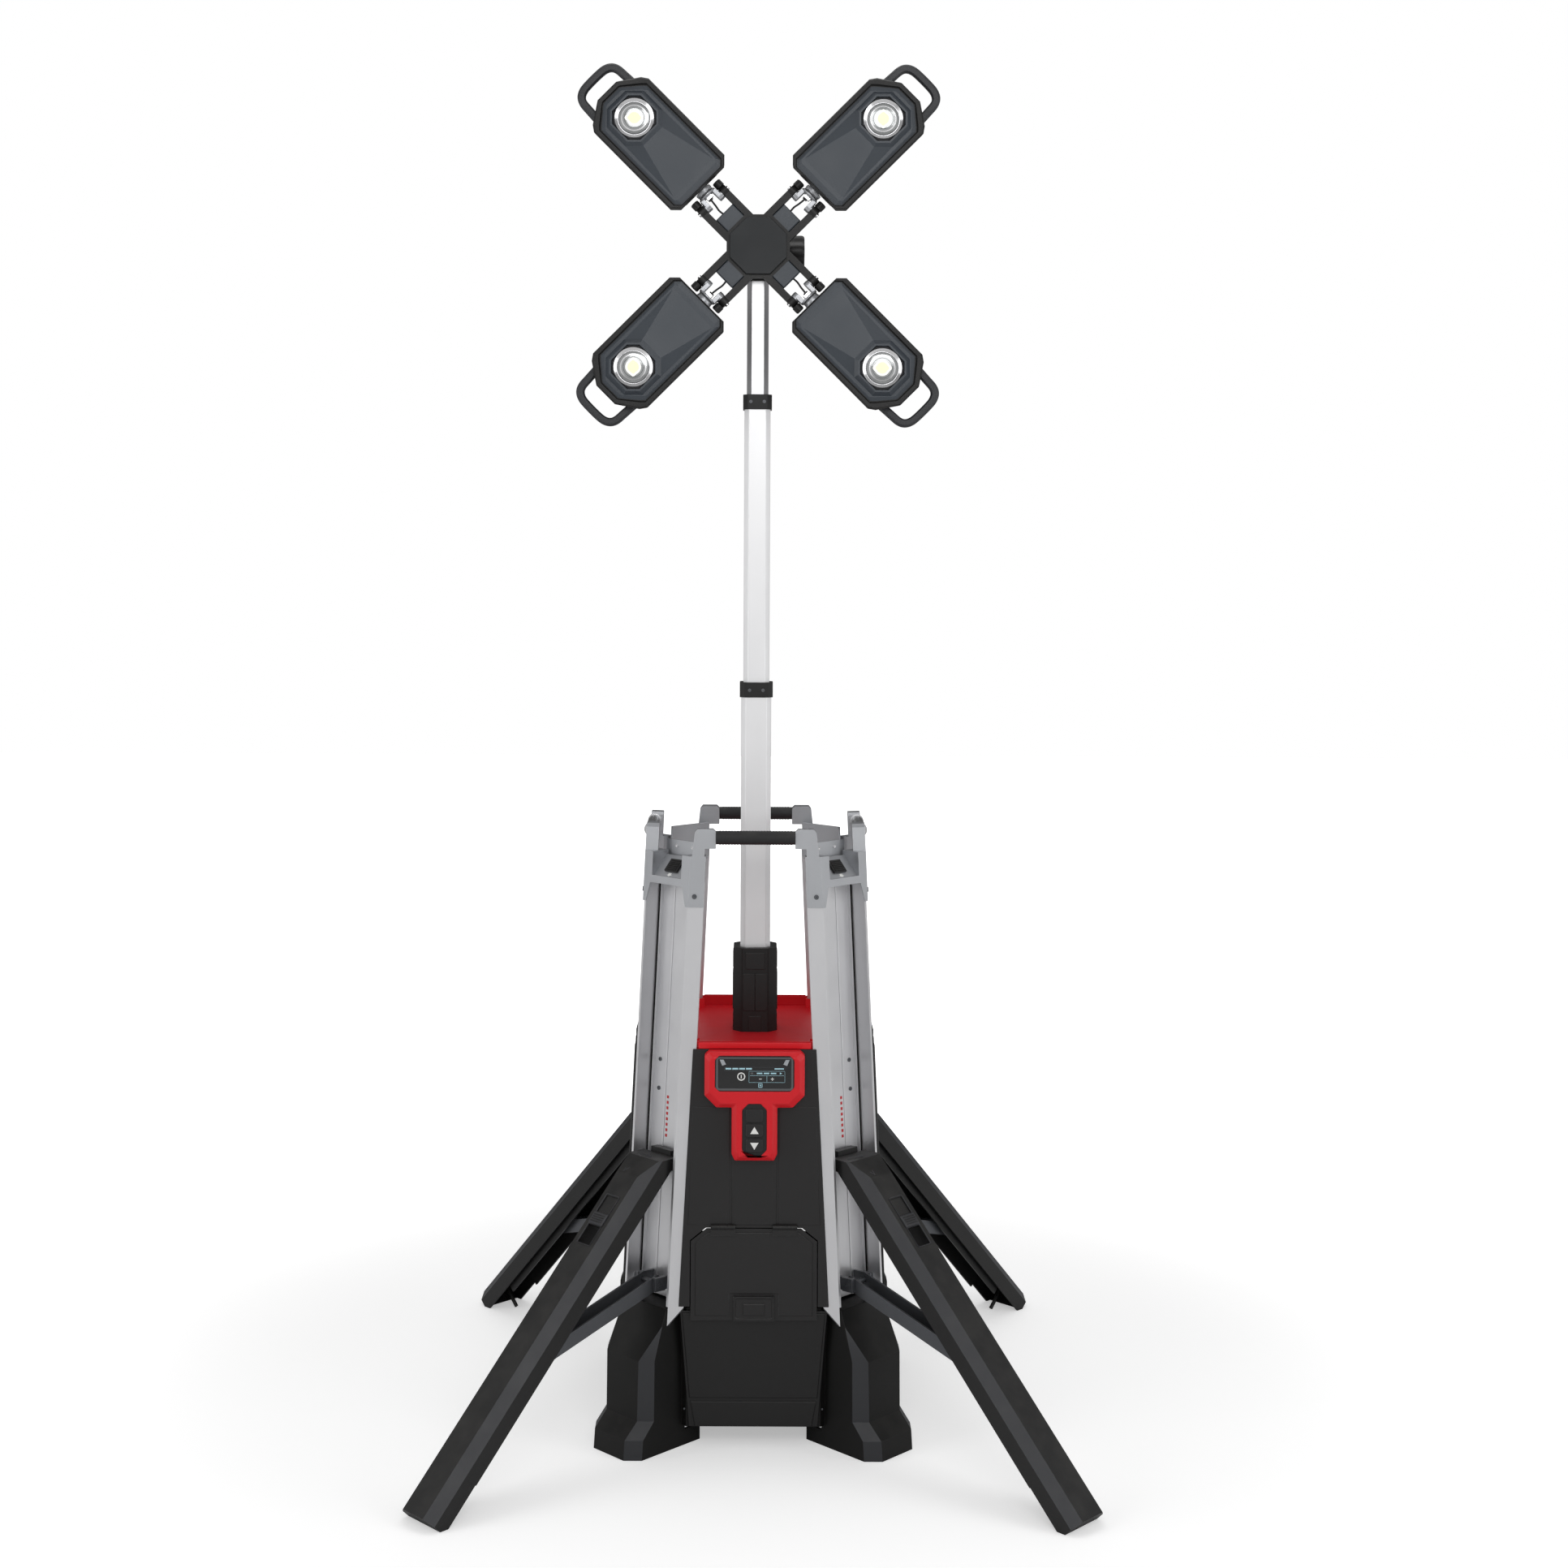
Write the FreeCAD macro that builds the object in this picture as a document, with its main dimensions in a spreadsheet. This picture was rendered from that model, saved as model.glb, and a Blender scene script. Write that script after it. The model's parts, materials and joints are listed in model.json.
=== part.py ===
import FreeCAD, Part
import Sketcher
from FreeCAD import Placement, Rotation, Vector
import math
import os
import re

# Mobile light tower. Millimetres. +X right, +Y back, +Z up, origin on the floor under the mast.
# A leg, its brace, its slider and its bracket are drawn in the upright plane through the mast
# and one corner of the body, and then turned about the mast to that corner.

SIZES = {
    # frame: four corner posts that lean towards the mast
    "frame_half": 210,          # mast axis to the front plane, at frame_level
    "frame_level": 994,
    "frame_lean": 2.54,         # degrees
    "post_face": 120,
    "post_top": 1034,
    "post_foot": 262,
    "flange_foot": 228,
    "flange_run": 20.5,         # each way, so the flange is 29 wide
    "flange_wall": 2.1,
    "lip": 5,
    "channel_depth": 38,
    "channel_floor": 4,
    # castings and handles
    "handle_rise": 86,          # post's top to the bars' axes
    "handle_reach": 200,        # mast axis to the bar's axis
    "grip_half": 74,
    "grip_radius": 12.5,
    "tube_radius": 12,
    "arm_height": 33,
    "arm_depth": 24,
    "arm_outer": 113,
    "arm_root": 30,             # ramp's foot to the arm's foot, down
    "skirt_foot": 992,
    "skirt_arch": 1028,
    "skirt_wall": 3,
    "ramp_foot": 1042,
    "ramp_head": 1080,
    "ramp_depth": 34,
    "web_top": 1108,
    "web_wall": 5,
    "ramp_half": 40,
    "arch_corner": 3,
    "arch_slope": 13,
    "web_half": 50,
    "latch_width": 34,
    "latch_height": 28,
    "latch_wall": 4,
    # body
    "panel_top": 733,
    "panel_foot": 264,
    "panel_half_top": 114,
    "panel_half_foot": 138,
    "panel_wall": 4,
    "seat_gap": 0.2,
    "tray_floor": 722,
    "tray_rim": 745,
    "tray_wall": 5,
    "deck_top": 242,
    "deck_wall": 6,
    "base_top": 258,
    "base_wall": 6,
    "arch_height": 39,
    "base_front": 232,
    "base_corner": 124,
    "foot_half": 64,
    "foot_inner": 205,
    "foot_reach": 371,          # mast axis to the foot's tip, at its toe
    "foot_waist": 340,
    "foot_shoulder": 297,
    "foot_crown": 286,
    "foot_bevel": 24,
    "toe_level": 36,
    "waist_level": 63,
    "crease_level": 172,
    "apron_wall": 5,
    "apron_half_top": 136,
    "apron_half_foot": 119,
    # console on the front panel
    "console_half": 92,
    "console_foot": 631,
    "console_rise": 33,
    "console_bevel": 9,
    "stem_half": 42,
    "stem_foot": 535,
    "display_width": 145,
    "display_height": 64,
    "display_level": 694,
    "keypad_width": 45,
    "keypad_height": 95,
    "keypad_level": 592,
    "button_rise": 3,
    "button_width": 29,
    "button_height": 24,
    "button_pitch": 27,
    "face_depth": 6,
    # battery door and battery
    "door_half": 116,
    "door_top": 406,
    "door_foot": 240,
    "door_corner_run": 29,
    "door_corner_drop": 23,
    "door_gap": 1.5,
    "hinge_radius": 4,
    "hinge_width": 45,
    "hinge_place": 57,
    "hinge_stand": 8.9,         # flange plane to the hinge's axis
    "hinge_strap": 12,
    "console_corner": 22,
    "console_top_corner": 8,
    "stem_corner": 12,
    "latch_block_width": 75,
    "latch_block_height": 44,
    "latch_block_rise": 6,
    "battery_width": 150,
    "battery_depth": 110,
    "battery_height": 150,
    # wheels
    "wheel_radius": 100,
    "wheel_width": 46,
    "wheel_place": 90,          # mast axis to the wheel's middle plane
    "wheel_back": 205,
    "wheel_lift": 4,            # tread to the floor
    "tread_depth": 24,
    "axle_radius": 8,
    "hub_boss": 14,
    "disc_half": 7,
    "axle_gap": 0.1,
    "well_gap": 8,
    # mast
    "lower_width": 58,
    "middle_width": 50.5,
    "upper_width": 42,
    "mast_corner": 9,
    "mast_wall": 1.8,
    "slide_gap": 0.3,
    "lower_top": 1399,
    "middle_top": 1957,
    "head_foot": 2177,
    "collar_height": 29,
    "collar_lip": 9,
    "lower_collar_width": 64,
    "upper_collar_width": 56,
    "lower_stroke": 465,
    "middle_stroke": 510,
    "upper_stroke": 215,
    "tube_step": 5,             # one tube's foot above the next one's when stowed
    "sleeve_width": 84,
    "sleeve_corner": 17,
    "sleeve_top": 887,
    "casing_width": 66,
    # mast head and hub
    "tilt_rise": 58,            # upper tube's cap to the tilt axis
    "hub_rise": 6,
    "tilt_radius": 19,
    "tilt_lug": 34,
    "tilt_pin": 6,
    "ear_wall": 12,
    "ear_gap": 1,
    "hub_back": 32,
    "hub_depth": 18,
    "hub_across": 122,
    "cover_across": 109,
    "cover_depth": 7,
    "arm_spread": 29.5,
    "arm_width": 13,
    "arm_end": 12,
    "fold_radius": 122,
    "cap_radius": 8.8,
    "cap_length": 11,
    "wedge_width": 36,
    "wedge_reach": 92,
    "knob_place": 74,
    "knob_width": 32,
    "knob_across": 67,
    "knob_depth": 60,
    "knob_corner": 16,
    # light heads
    "fork_eye": 10,
    "fork_arm": 8.6,
    "fork_outer": 19.5,         # mast side to side, the arms' outer faces
    "fork_root": 14.5,          # fold axis to the bottom of the fork's gap
    "fork_plate": 5.5,
    "yoke_gap": 0.6,
    "neck_radius": 12,
    "neck_gap": 0.3,
    "head_start": 30,           # fold axis to the housing
    "head_length": 259,
    "head_half": 73.5,
    "head_back_half": 55,
    "head_front": 45,
    "head_back": 20,
    "head_step": 14,            # back plate to the widest section
    "head_corner": 22,
    "head_nose_half": 26,
    "head_nose_run": 40,
    "rim_wall": 11,
    "rim_depth": 3,
    "lens_place": 75,           # housing's outer end to the lens axis
    "lens_across": 77,
    "lens_corner": 18,
    "lens_depth": 5,
    "ring_across": 84,
    "ring_corner": 19,
    "bezel_across": 100,
    "bezel_corner": 25,
    "bezel_rise": 9.5,
    "bail_reach": 37,
    "bail_half": 51,
    "bail_rod": 14,
    "bail_root": 70,
    "bail_level": 6,
    # legs
    "pivot_setback": 5.3,       # post face to the line of the leg's pivots
    "slider_height": 514,
    "bracket_height": 295,
    "leg_slope": 45,            # degrees
    "brace_from": 417,          # leg's head pivot to the brace's pivot
    "leg_length": 735,
    "leg_head": 18,
    "leg_half": 45,
    "leg_top": 42,
    "leg_skirt": 4,             # leg's side below the line of its pivots
    "leg_bevel": 17,
    "leg_wall": 4,
    "rail_half": 34,
    "rail_drop": 16,
    "rail_end": 95,             # leg's foot to its rails' end
    "boss_radius": 11,
    "boss_gap": 0.75,
    "lug_half": 8,
    "pin_radius": 5,
    "pin_gap": 0.3,
    "stud_end": 41,
    "stud_radius": 4,
    "stud_drop": 28,
    "brace_half": 20,
    "brace_depth": 13,
    "brace_wall": 4,
    "brace_fork": 26,
    "bracket_wall": 6,
    "bracket_gap": 1,
    "bracket_rise": 10,
    "slider_half": 27,
    "slider_lift": 2,           # channel's floor to the slider
    "slider_front": 13,
    "slider_drop": 15,
    "slider_rise": 23,
}

doc = FreeCAD.newDocument("LightTower")
sheet = doc.addObject("Spreadsheet::Sheet", "Sizes")
for row, (alias, value) in enumerate(SIZES.items(), 1):
    sheet.set(f"A{row}", alias)
    sheet.set(f"B{row}", str(value))
    sheet.setAlias(f"B{row}", alias)
doc.recompute()

NODES = []
UP = Vector(0, 0, 1)
ORIGIN = Vector(0, 0, 0)
# Each plane's turn from XY: the drawing's two directions and its normal.
PLANES = {
    "xy": Rotation(),
    "xz": Rotation(Vector(1, 0, 0), 90),
    "yz": Rotation(Vector(1, 1, 1), 120),
}
ROLES = {"xy": "XY_Plane", "xz": "XZ_Plane", "yz": "YZ_Plane"}


def size(alias):
    """A size as the sheet holds it."""
    return float(sheet.get(alias))


def bind(piece, prop, words):
    """Tie a property to the sheet; words are an expression in the sizes' names."""
    named = re.sub(r"[a-z]\w*", lambda m: "Sizes." + m[0] if m[0] in SIZES else m[0], str(words))
    piece.setExpression(prop, named)


def bind_place(piece, spot):
    """Tie a piece's position to the sheet."""
    for axis, words in zip("xyz", spot):
        bind(piece, "Placement.Base." + axis, words)


def draw(sketch, corners):
    """A closed outline of straight edges; each corner's two places are expressions."""
    first = sketch.GeometryCount
    count = len(corners)
    turns = [2 * math.pi * i / count for i in range(count)]
    spots = [Vector(50 * math.cos(turn), 50 * math.sin(turn), 0) for turn in turns]
    for i in range(count):
        sketch.addGeometry(Part.LineSegment(spots[i], spots[(i + 1) % count]), False)
    for i in range(count):
        after = first + (i + 1) % count
        sketch.addConstraint(Sketcher.Constraint("Coincident", first + i, 2, after, 1))
    for i, corner in enumerate(corners):
        for kind, words in zip(("DistanceX", "DistanceY"), corner):
            tie = sketch.addConstraint(Sketcher.Constraint(kind, -1, 1, first + i, 1, 1.0))
            bind(sketch, f"Constraints[{tie}]", words)


def ring(sketch, centre, radius):
    """A circle whose centre and radius are expressions."""
    circle = sketch.addGeometry(Part.Circle(Vector(5, 5, 0), UP, 3), False)
    for kind, words in zip(("DistanceX", "DistanceY"), centre):
        tie = sketch.addConstraint(Sketcher.Constraint(kind, -1, 1, circle, 3, 1.0))
        bind(sketch, f"Constraints[{tie}]", words)
    tie = sketch.addConstraint(Sketcher.Constraint("Radius", circle, 3.0))
    bind(sketch, f"Constraints[{tie}]", radius)


def mirrored(half):
    """The outline's right half, given from below to above, and its mirror image."""
    return half + [(f"-({u})", v) for u, v in reversed(half)]


def octagon(across, corner):
    """A square of this width with its corners cut, about the origin."""
    half = f"({across}) / 2"
    short = f"({across}) / 2 - ({corner})"
    one = [(short, f"-({half})"), (half, f"-({short})"), (half, short), (short, half)]
    return one + [(f"-({u})", f"-({v})") for u, v in one]


def free_sketch(name, plane, low, corners, holes=()):
    """An outline in a plane that stands off the origin by low along the plane's axis."""
    sketch = doc.addObject("Sketcher::SketchObject", name + "_outline")
    sketch.Placement = Placement(ORIGIN, PLANES[plane])
    bind(sketch, "Placement.Base." + {"xy": "z", "xz": "y", "yz": "x"}[plane], low)
    draw(sketch, corners)
    for hole in holes:
        draw(sketch, hole)
    return sketch


def extrude(name, plane, low, high, corners, holes=()):
    """A prism between two values along the axis that the plane leaves out."""
    piece = doc.addObject("Part::Extrusion", name)
    piece.Base = free_sketch(name, plane, low, corners, holes)
    piece.DirMode = "Custom"
    piece.Dir = {"xy": UP, "xz": Vector(0, 1, 0), "yz": Vector(1, 0, 0)}[plane]
    piece.Solid = True
    bind(piece, "LengthFwd", f"({high}) - ({low})")
    return piece


def loft(name, plane, sections):
    """A ruled solid through outlines with the same number of corners."""
    piece = doc.addObject("Part::Loft", name)
    piece.Sections = [free_sketch(f"{name}_{i}", plane, low, corners)
                      for i, (low, corners) in enumerate(sections)]
    piece.Solid = True
    piece.Ruled = True
    return piece


def box(name, spot, lengths):
    piece = doc.addObject("Part::Box", name)
    for prop, words in zip(("Length", "Width", "Height"), lengths):
        bind(piece, prop, words)
    bind_place(piece, spot)
    return piece


def middle_box(name, spot, lengths):
    """A box about a point."""
    return box(name, [f"{s} - ({n}) / 2" for s, n in zip(spot, lengths)], lengths)


def cylinder(name, axis, spot, radius, length):
    """A cylinder that starts at a point and runs along a positive axis."""
    piece = doc.addObject("Part::Cylinder", name)
    turns = {"x": Rotation(Vector(0, 1, 0), 90), "y": Rotation(Vector(1, 0, 0), -90), "z": Rotation()}
    piece.Placement = Placement(ORIGIN, turns[axis])
    bind(piece, "Radius", radius)
    bind(piece, "Height", length)
    bind_place(piece, spot)
    return piece


def middle_cylinder(name, axis, spot, radius, length):
    """A cylinder about a point."""
    moved = [f"{s} - ({length}) / 2" if a == axis else s for s, a in zip(spot, "xyz")]
    return cylinder(name, axis, moved, radius, length)


def fuse(name, pieces):
    piece = doc.addObject("Part::MultiFuse", name)
    piece.Shapes = pieces
    piece.Refine = True
    return piece


def cut(name, base, tools):
    for i, tool in enumerate(tools):
        piece = doc.addObject("Part::Cut", f"{name}_{i}" if i + 1 < len(tools) else name)
        piece.Base = base
        piece.Tool = tool
        base = piece
    return base


def placed(name, piece, place=Placement()):
    """A piece whose own position is tied to the sheet, moved as a whole."""
    moved = doc.addObject("Part::Compound", name)
    moved.Links = [piece]
    moved.Placement = place
    return moved


def copies(name, source, turns):
    """One node with copies of a piece, turned about the mast; turns are in degrees."""
    one = placed(name + "_one", source)
    links = []
    for turn in turns:
        link = doc.addObject("App::Link", f"{name}_{turn}")
        link.setLink(one)
        link.Placement = Placement(ORIGIN, Rotation(UP, turn))
        links.append(link)
    piece = doc.addObject("Part::Compound", name)
    piece.Links = links
    return piece


def node(piece, label, place=None):
    """Keep a finished piece under its own name, at its own place."""
    piece.Label = label
    if place is not None:
        piece.Placement = place
    NODES.append(piece)
    return piece


def new_body(name):
    return doc.addObject("PartDesign::Body", name)


def body_sketch(body, plane, lift="0"):
    """A sketch on one of the body's own planes."""
    sketch = body.newObject("Sketcher::SketchObject", body.Name + "_sketch")
    plane_feature = next(f for f in body.Origin.OriginFeatures if f.Role == ROLES[plane])
    sketch.AttachmentSupport = [(plane_feature, "")]
    sketch.MapMode = "FlatFace"
    bind(sketch, "AttachmentOffset.Base.z", lift)
    return sketch


def feature(body, kind, sketch, length, middle=False, back=False):
    """A Pad or a Pocket of a sketch."""
    made = body.newObject("PartDesign::" + kind, f"{body.Name}_{kind}")
    made.Profile = sketch
    made.Midplane = middle
    made.Reversed = back
    bind(made, "Length", length)
    return made


def pad(body, plane, length, outlines=(), rings=(), lift="0", middle=False, kind="Pad", back=False):
    """A Pad or Pocket of closed outlines and circles on one of the body's planes."""
    sketch = body_sketch(body, plane, lift)
    for corners in outlines:
        draw(sketch, corners)
    for centre, radius in rings:
        ring(sketch, centre, radius)
    return feature(body, kind, sketch, length, middle, back)


def pocket(body, plane, length, **shape):
    return pad(body, plane, length, kind="Pocket", **shape)


LEAN = math.radians(size("frame_lean"))


def half_width(level):
    """Mast axis to the outer plane of the posts' flanges, at a height."""
    return size("frame_half") + (size("frame_level") - level) * math.tan(LEAN)


def face_radius(level):
    """Mast axis to a post's corner face, at a height."""
    return math.sqrt(2) * half_width(level) - size("post_face") / 2


RADIAL_LEAN = math.atan(math.sqrt(2) * math.tan(LEAN))
CORNERS = {"front_right": -45, "front_left": -135, "rear_left": 135, "rear_right": 45}
QUARTERS = (0, 90, 180, 270)

# Words for places that several pieces share.
WIDTH_AT = "(frame_half + (frame_level - ({})) * tan(frame_lean))"
HALF_FACE = "post_face / 2"
TILT = "(head_foot + tilt_rise)"
HUB_LEVEL = size("head_foot") + size("tilt_rise") + size("hub_rise")


def radial(azimuth, radius, level, dip):
    """Place a piece drawn in XZ so that X points out and down by dip degrees."""
    turn = Rotation(UP, azimuth).multiply(Rotation(Vector(0, 1, 0), dip))
    out = Rotation(UP, azimuth).multVec(Vector(radius, 0, 0))
    return Placement(Vector(out.x, out.y, level), turn)


def leaning(turn, level):
    """Place a piece drawn in XY on the flange plane, Y up, Z out; turn 0 is the front."""
    tilt = Rotation(UP, turn).multiply(Rotation(Vector(1, 0, 0), 90 - math.degrees(LEAN)))
    out = Rotation(UP, turn).multVec(Vector(0, -half_width(level), 0))
    return Placement(Vector(out.x, out.y, level), tilt)


def corner_posts():
    """Four aluminium posts: a channel open to the corner, with a flange each side."""
    half, run, wall = HALF_FACE, "flange_run", "flange_wall"
    one_side = [
        ("0", f"{half} - lip"),
        ("0", half),
        (f"-{run}", f"{half} + {run}"),
        (f"-{run} - {wall}", f"{half} + {run} - {wall}"),
        (f"-2 * {wall}", half),
        ("-channel_depth - channel_floor", half),
    ]
    inner = [("-channel_depth", f"{half} - lip")]
    outline = one_side + [(u, f"-({v})") for u, v in reversed(one_side)]
    outline = outline + [(u, f"-({v})") for u, v in inner] + inner
    bar = doc.addObject("Part::Extrusion", "post_bar")
    bar.Base = free_sketch("post_bar", "xy", "flange_foot", outline)
    bar.DirMode = "Custom"
    bar.Dir = Vector(-math.tan(RADIAL_LEAN), 0, 1)
    bar.Solid = True
    bind(bar, "LengthFwd", f"(post_top - flange_foot) / {math.cos(RADIAL_LEAN)}")
    blank = box("post_blank", ["-2 * post_face", f"-({half})", "flange_foot - 10"],
                ["4 * post_face", "post_face", "post_foot - flange_foot + 10"])
    slants = []
    for name, sign in (("left", "-"), ("right", "")):
        corners = [(f"{sign}({half})", "flange_foot"),
                   (f"{sign}({half} + 1.1 * flange_run)", "flange_foot + 1.1 * (post_foot - flange_foot)"),
                   (f"{sign}({half} + 1.1 * flange_run)", "flange_foot - 5"),
                   (f"{sign}({half})", "flange_foot - 5")]
        slants.append(extrude("post_slant_" + name, "yz", "-2 * post_face", "2 * post_face", corners))
    post = cut("corner_post", bar, [blank] + slants)
    face = face_radius(size("flange_foot"))
    links = []
    for corner, azimuth in CORNERS.items():
        link = doc.addObject("App::Link", "post_" + corner)
        link.setLink(post)
        link.Placement = radial(azimuth, face, 0, 0)
        links.append(link)
    posts = doc.addObject("Part::Compound", "corner_posts")
    posts.Links = links
    node(posts, "corner_posts")


def hexagon(level, out, back):
    """A casting's section at a height, drawn about the corner's own axes x and y."""
    width = WIDTH_AT.format(level) + f" + {out}"
    inner = WIDTH_AT.format(level) + f" - {back}"
    edge = WIDTH_AT.format(level) + " - post_face / sqrt(2)"
    side = WIDTH_AT.format(level) + " - post_face / sqrt(2) - sqrt(2) * flange_run"
    one = [(side, f"-({inner})"), (side, f"-({width})"), (edge, f"-({width})")]
    return one + [(f"-({v})", f"-({u})") for u, v in reversed(one)]


def corner_castings():
    """The brackets on the posts' tops: a skirt, a latch ramp and an arm each way."""
    wall = "skirt_wall"
    shell = loft("casting_shell", "xy", [(level, hexagon(level, wall, "arm_depth"))
                                         for level in ("skirt_foot", "ramp_head + 6")])
    hollow = loft("casting_hollow", "xy", [(level, hexagon(level, "seat_gap", "(3 * arm_depth)"))
                                           for level in ("skirt_foot - 5", "post_top + seat_gap")])
    face = face_radius(size("frame_level"))
    level = size("frame_level")
    # The next three are drawn along the corner: x out from the post's face, y across.
    ramp_cut = extrude("ramp_cut", "xz", "-ramp_half", "ramp_half", [
        ("10", f"ramp_foot - {level}"), ("10", f"web_top + 20 - {level}"),
        ("-ramp_depth - 14", f"web_top + 20 - {level}"), ("-ramp_depth - 14", f"ramp_head - 12 - {level}"),
        ("-ramp_depth", f"ramp_head - 12 - {level}"), ("-ramp_depth", f"ramp_head - {level}"),
        ("-3", f"ramp_foot - {level}")])
    arch = extrude("arch_cut", "yz", "-20", "20", [
        (f"-({HALF_FACE} - arch_corner)", f"skirt_foot - 10 - {level}"),
        (f"{HALF_FACE} - arch_corner", f"skirt_foot - 10 - {level}"),
        (f"{HALF_FACE} - arch_corner - arch_slope", f"skirt_arch - {level}"),
        (f"-({HALF_FACE} - arch_corner - arch_slope)", f"skirt_arch - {level}")])
    web = box("casting_web", ["-channel_depth - channel_floor - web_wall", "-web_half",
                              f"post_top + seat_gap - {level}"],
              ["web_wall", "2 * web_half", "web_top - post_top - seat_gap"])
    along_post = radial(-45, face, level, -math.degrees(RADIAL_LEAN))
    ramp_cut.Placement = along_post
    arch.Placement = along_post
    web = placed("casting_web_placed", web, along_post)
    floor = size("ramp_foot") - size("arm_root")
    arm = doc.addObject("Part::Extrusion", "casting_arm")
    arm.Base = free_sketch("casting_arm", "xy", "0", [
        ("arm_outer + 10", f"skirt_arch + 10 - {floor}"), ("arm_outer - 15", f"skirt_arch + 10 - {floor}"),
        ("arm_outer - 19", f"(post_top + handle_rise) - arm_height * 0.6 - {floor}"),
        ("grip_half", f"(post_top + handle_rise) - arm_height * 0.6 - {floor}"),
        ("grip_half", f"(post_top + handle_rise) + arm_height * 0.35 - {floor}"),
        ("grip_half + 5", f"(post_top + handle_rise) + arm_height * 0.5 - {floor}"),
        ("arm_outer - 5", f"(post_top + handle_rise) + arm_height * 0.5 - {floor}"),
        ("arm_outer", f"(post_top + handle_rise) + arm_height * 0.3 - {floor}")])
    arm.DirMode = "Custom"
    arm.Dir = Vector(0, 0, 1)
    arm.Solid = True
    bind(arm, "LengthFwd", "arm_depth")
    place = leaning(0, floor)
    back = Vector(0, 0, size("skirt_wall") - size("arm_depth"))
    arm.Placement = place.multiply(Placement(back, Rotation()))
    other = doc.addObject("Part::Mirroring", "casting_arm_side")
    other.Source = arm
    other.Normal = Vector(1, 1, 0)
    block = cut("casting_block", shell, [hollow, ramp_cut, arch])
    casting = fuse("corner_casting", [block, web, arm, other])
    node(copies("corner_castings", casting, QUARTERS), "corner_castings")
    latch = middle_box("leg_latch", ["0", "0", "0"], ["latch_height", "latch_width", "latch_wall"])
    slope = math.degrees(math.atan2(size("ramp_head") - size("ramp_foot"), size("ramp_depth") - 3))
    middle = (size("ramp_foot") + size("ramp_head")) / 2
    along = -(size("ramp_depth") + 3) / 2
    out = size("latch_wall") / 2 + size("seat_gap")
    tilt = Placement(Vector(along, 0, middle - level), Rotation(Vector(0, 1, 0), slope))
    lift = Placement(Vector(0, 0, out), Rotation())
    latch = placed("leg_latch_placed", latch, along_post.multiply(tilt).multiply(lift))
    node(copies("leg_latches", latch, QUARTERS), "leg_latches")


def handles():
    """Black grips front and back, bare tubes at the sides, each between two arms."""
    for label, radius, turns in (("handle_grips", "grip_radius", (0, 180)),
                                 ("side_handle_tubes", "tube_radius", (90, 270))):
        bar = middle_cylinder(label + "_bar", "x", ["0", "-handle_reach", "(post_top + handle_rise)"],
                              radius, "2 * grip_half - 2 * seat_gap")
        node(copies(label, bar, turns), label)


def panel_outline():
    """A body panel in its own plane: x across, y up from its foot."""
    return mirrored([("panel_half_foot", "0"), ("panel_half_top", "panel_top - panel_foot")])


def body_panels():
    """The black panels between the posts; the front one is open for the battery bay."""
    plain = {"rear_panel": (180,), "side_panels": (90, 270)}
    for label, turns in plain.items():
        sheet_piece = new_body(label + "_sheet")
        pad(sheet_piece, "xy", "panel_wall", [panel_outline()], lift="seat_gap")
        sheet_piece.Placement = leaning(0, size("panel_foot"))
        node(copies(label, sheet_piece, turns), label)
    front = new_body("front_panel")
    pad(front, "xy", "panel_wall", [panel_outline()], lift="seat_gap")
    opening = [(u, f"{v} - panel_foot") for u, v in door_outline("door_gap")]
    opening[0] = (opening[0][0], "-10")
    opening[-1] = (opening[-1][0], "-10")
    pocket(front, "xy", "2 * panel_wall + 2 * seat_gap", outlines=[opening], middle=True)
    node(front, "front_panel", leaning(0, size("panel_foot")))


def door_outline(gap):
    """The battery door in the panel's plane, grown by a gap; heights from the floor."""
    return mirrored([
        (f"door_half + {gap}", "door_foot"),
        (f"door_half + {gap}", f"door_top - door_corner_drop + {gap}"),
        (f"door_half - door_corner_run + {gap}", f"door_top + {gap}"),
    ])


def battery_door():
    """The door hangs on two hinge barrels and opens outwards and up."""
    plate = extrude("door_plate", "xy", "seat_gap", "seat_gap + panel_wall",
                    [(u, f"{v} - door_top") for u, v in door_outline("0")])
    latch = box("door_latch", ["-latch_block_width / 2", "door_foot - door_top", "panel_wall"],
                ["latch_block_width", "latch_block_height", "latch_block_rise"])
    pieces = [plate, latch]
    for name, sign in (("left", "-"), ("right", "")):
        pieces.append(middle_cylinder("door_barrel_" + name, "x",
                                      [f"{sign}hinge_place", "hinge_radius", "hinge_stand"],
                                      "hinge_radius", "hinge_width"))
        # The strap rises clear of the panel's edge before it reaches the barrel.
        pieces.append(extrude("door_strap_" + name, "yz", f"{sign}hinge_place - hinge_width / 2",
                              f"{sign}hinge_place + hinge_width / 2", [
                                  ("-hinge_strap", "panel_wall"), ("0", "panel_wall"),
                                  ("hinge_radius", "hinge_stand - 0.9 * hinge_radius"),
                                  ("hinge_radius", "hinge_stand"), ("-hinge_strap", "hinge_stand")]))
    node(fuse("battery_door", pieces), "battery_door", leaning(0, size("door_top")))


def battery_pack():
    """One plain block on the bay's deck, in front of the mast's casing."""
    front = "-(base_front - base_wall)"
    pack = box("battery_pack", ["-battery_width / 2", front, "deck_top"],
               ["battery_width", "battery_depth", "battery_height"])
    node(pack, "battery_pack")


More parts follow.
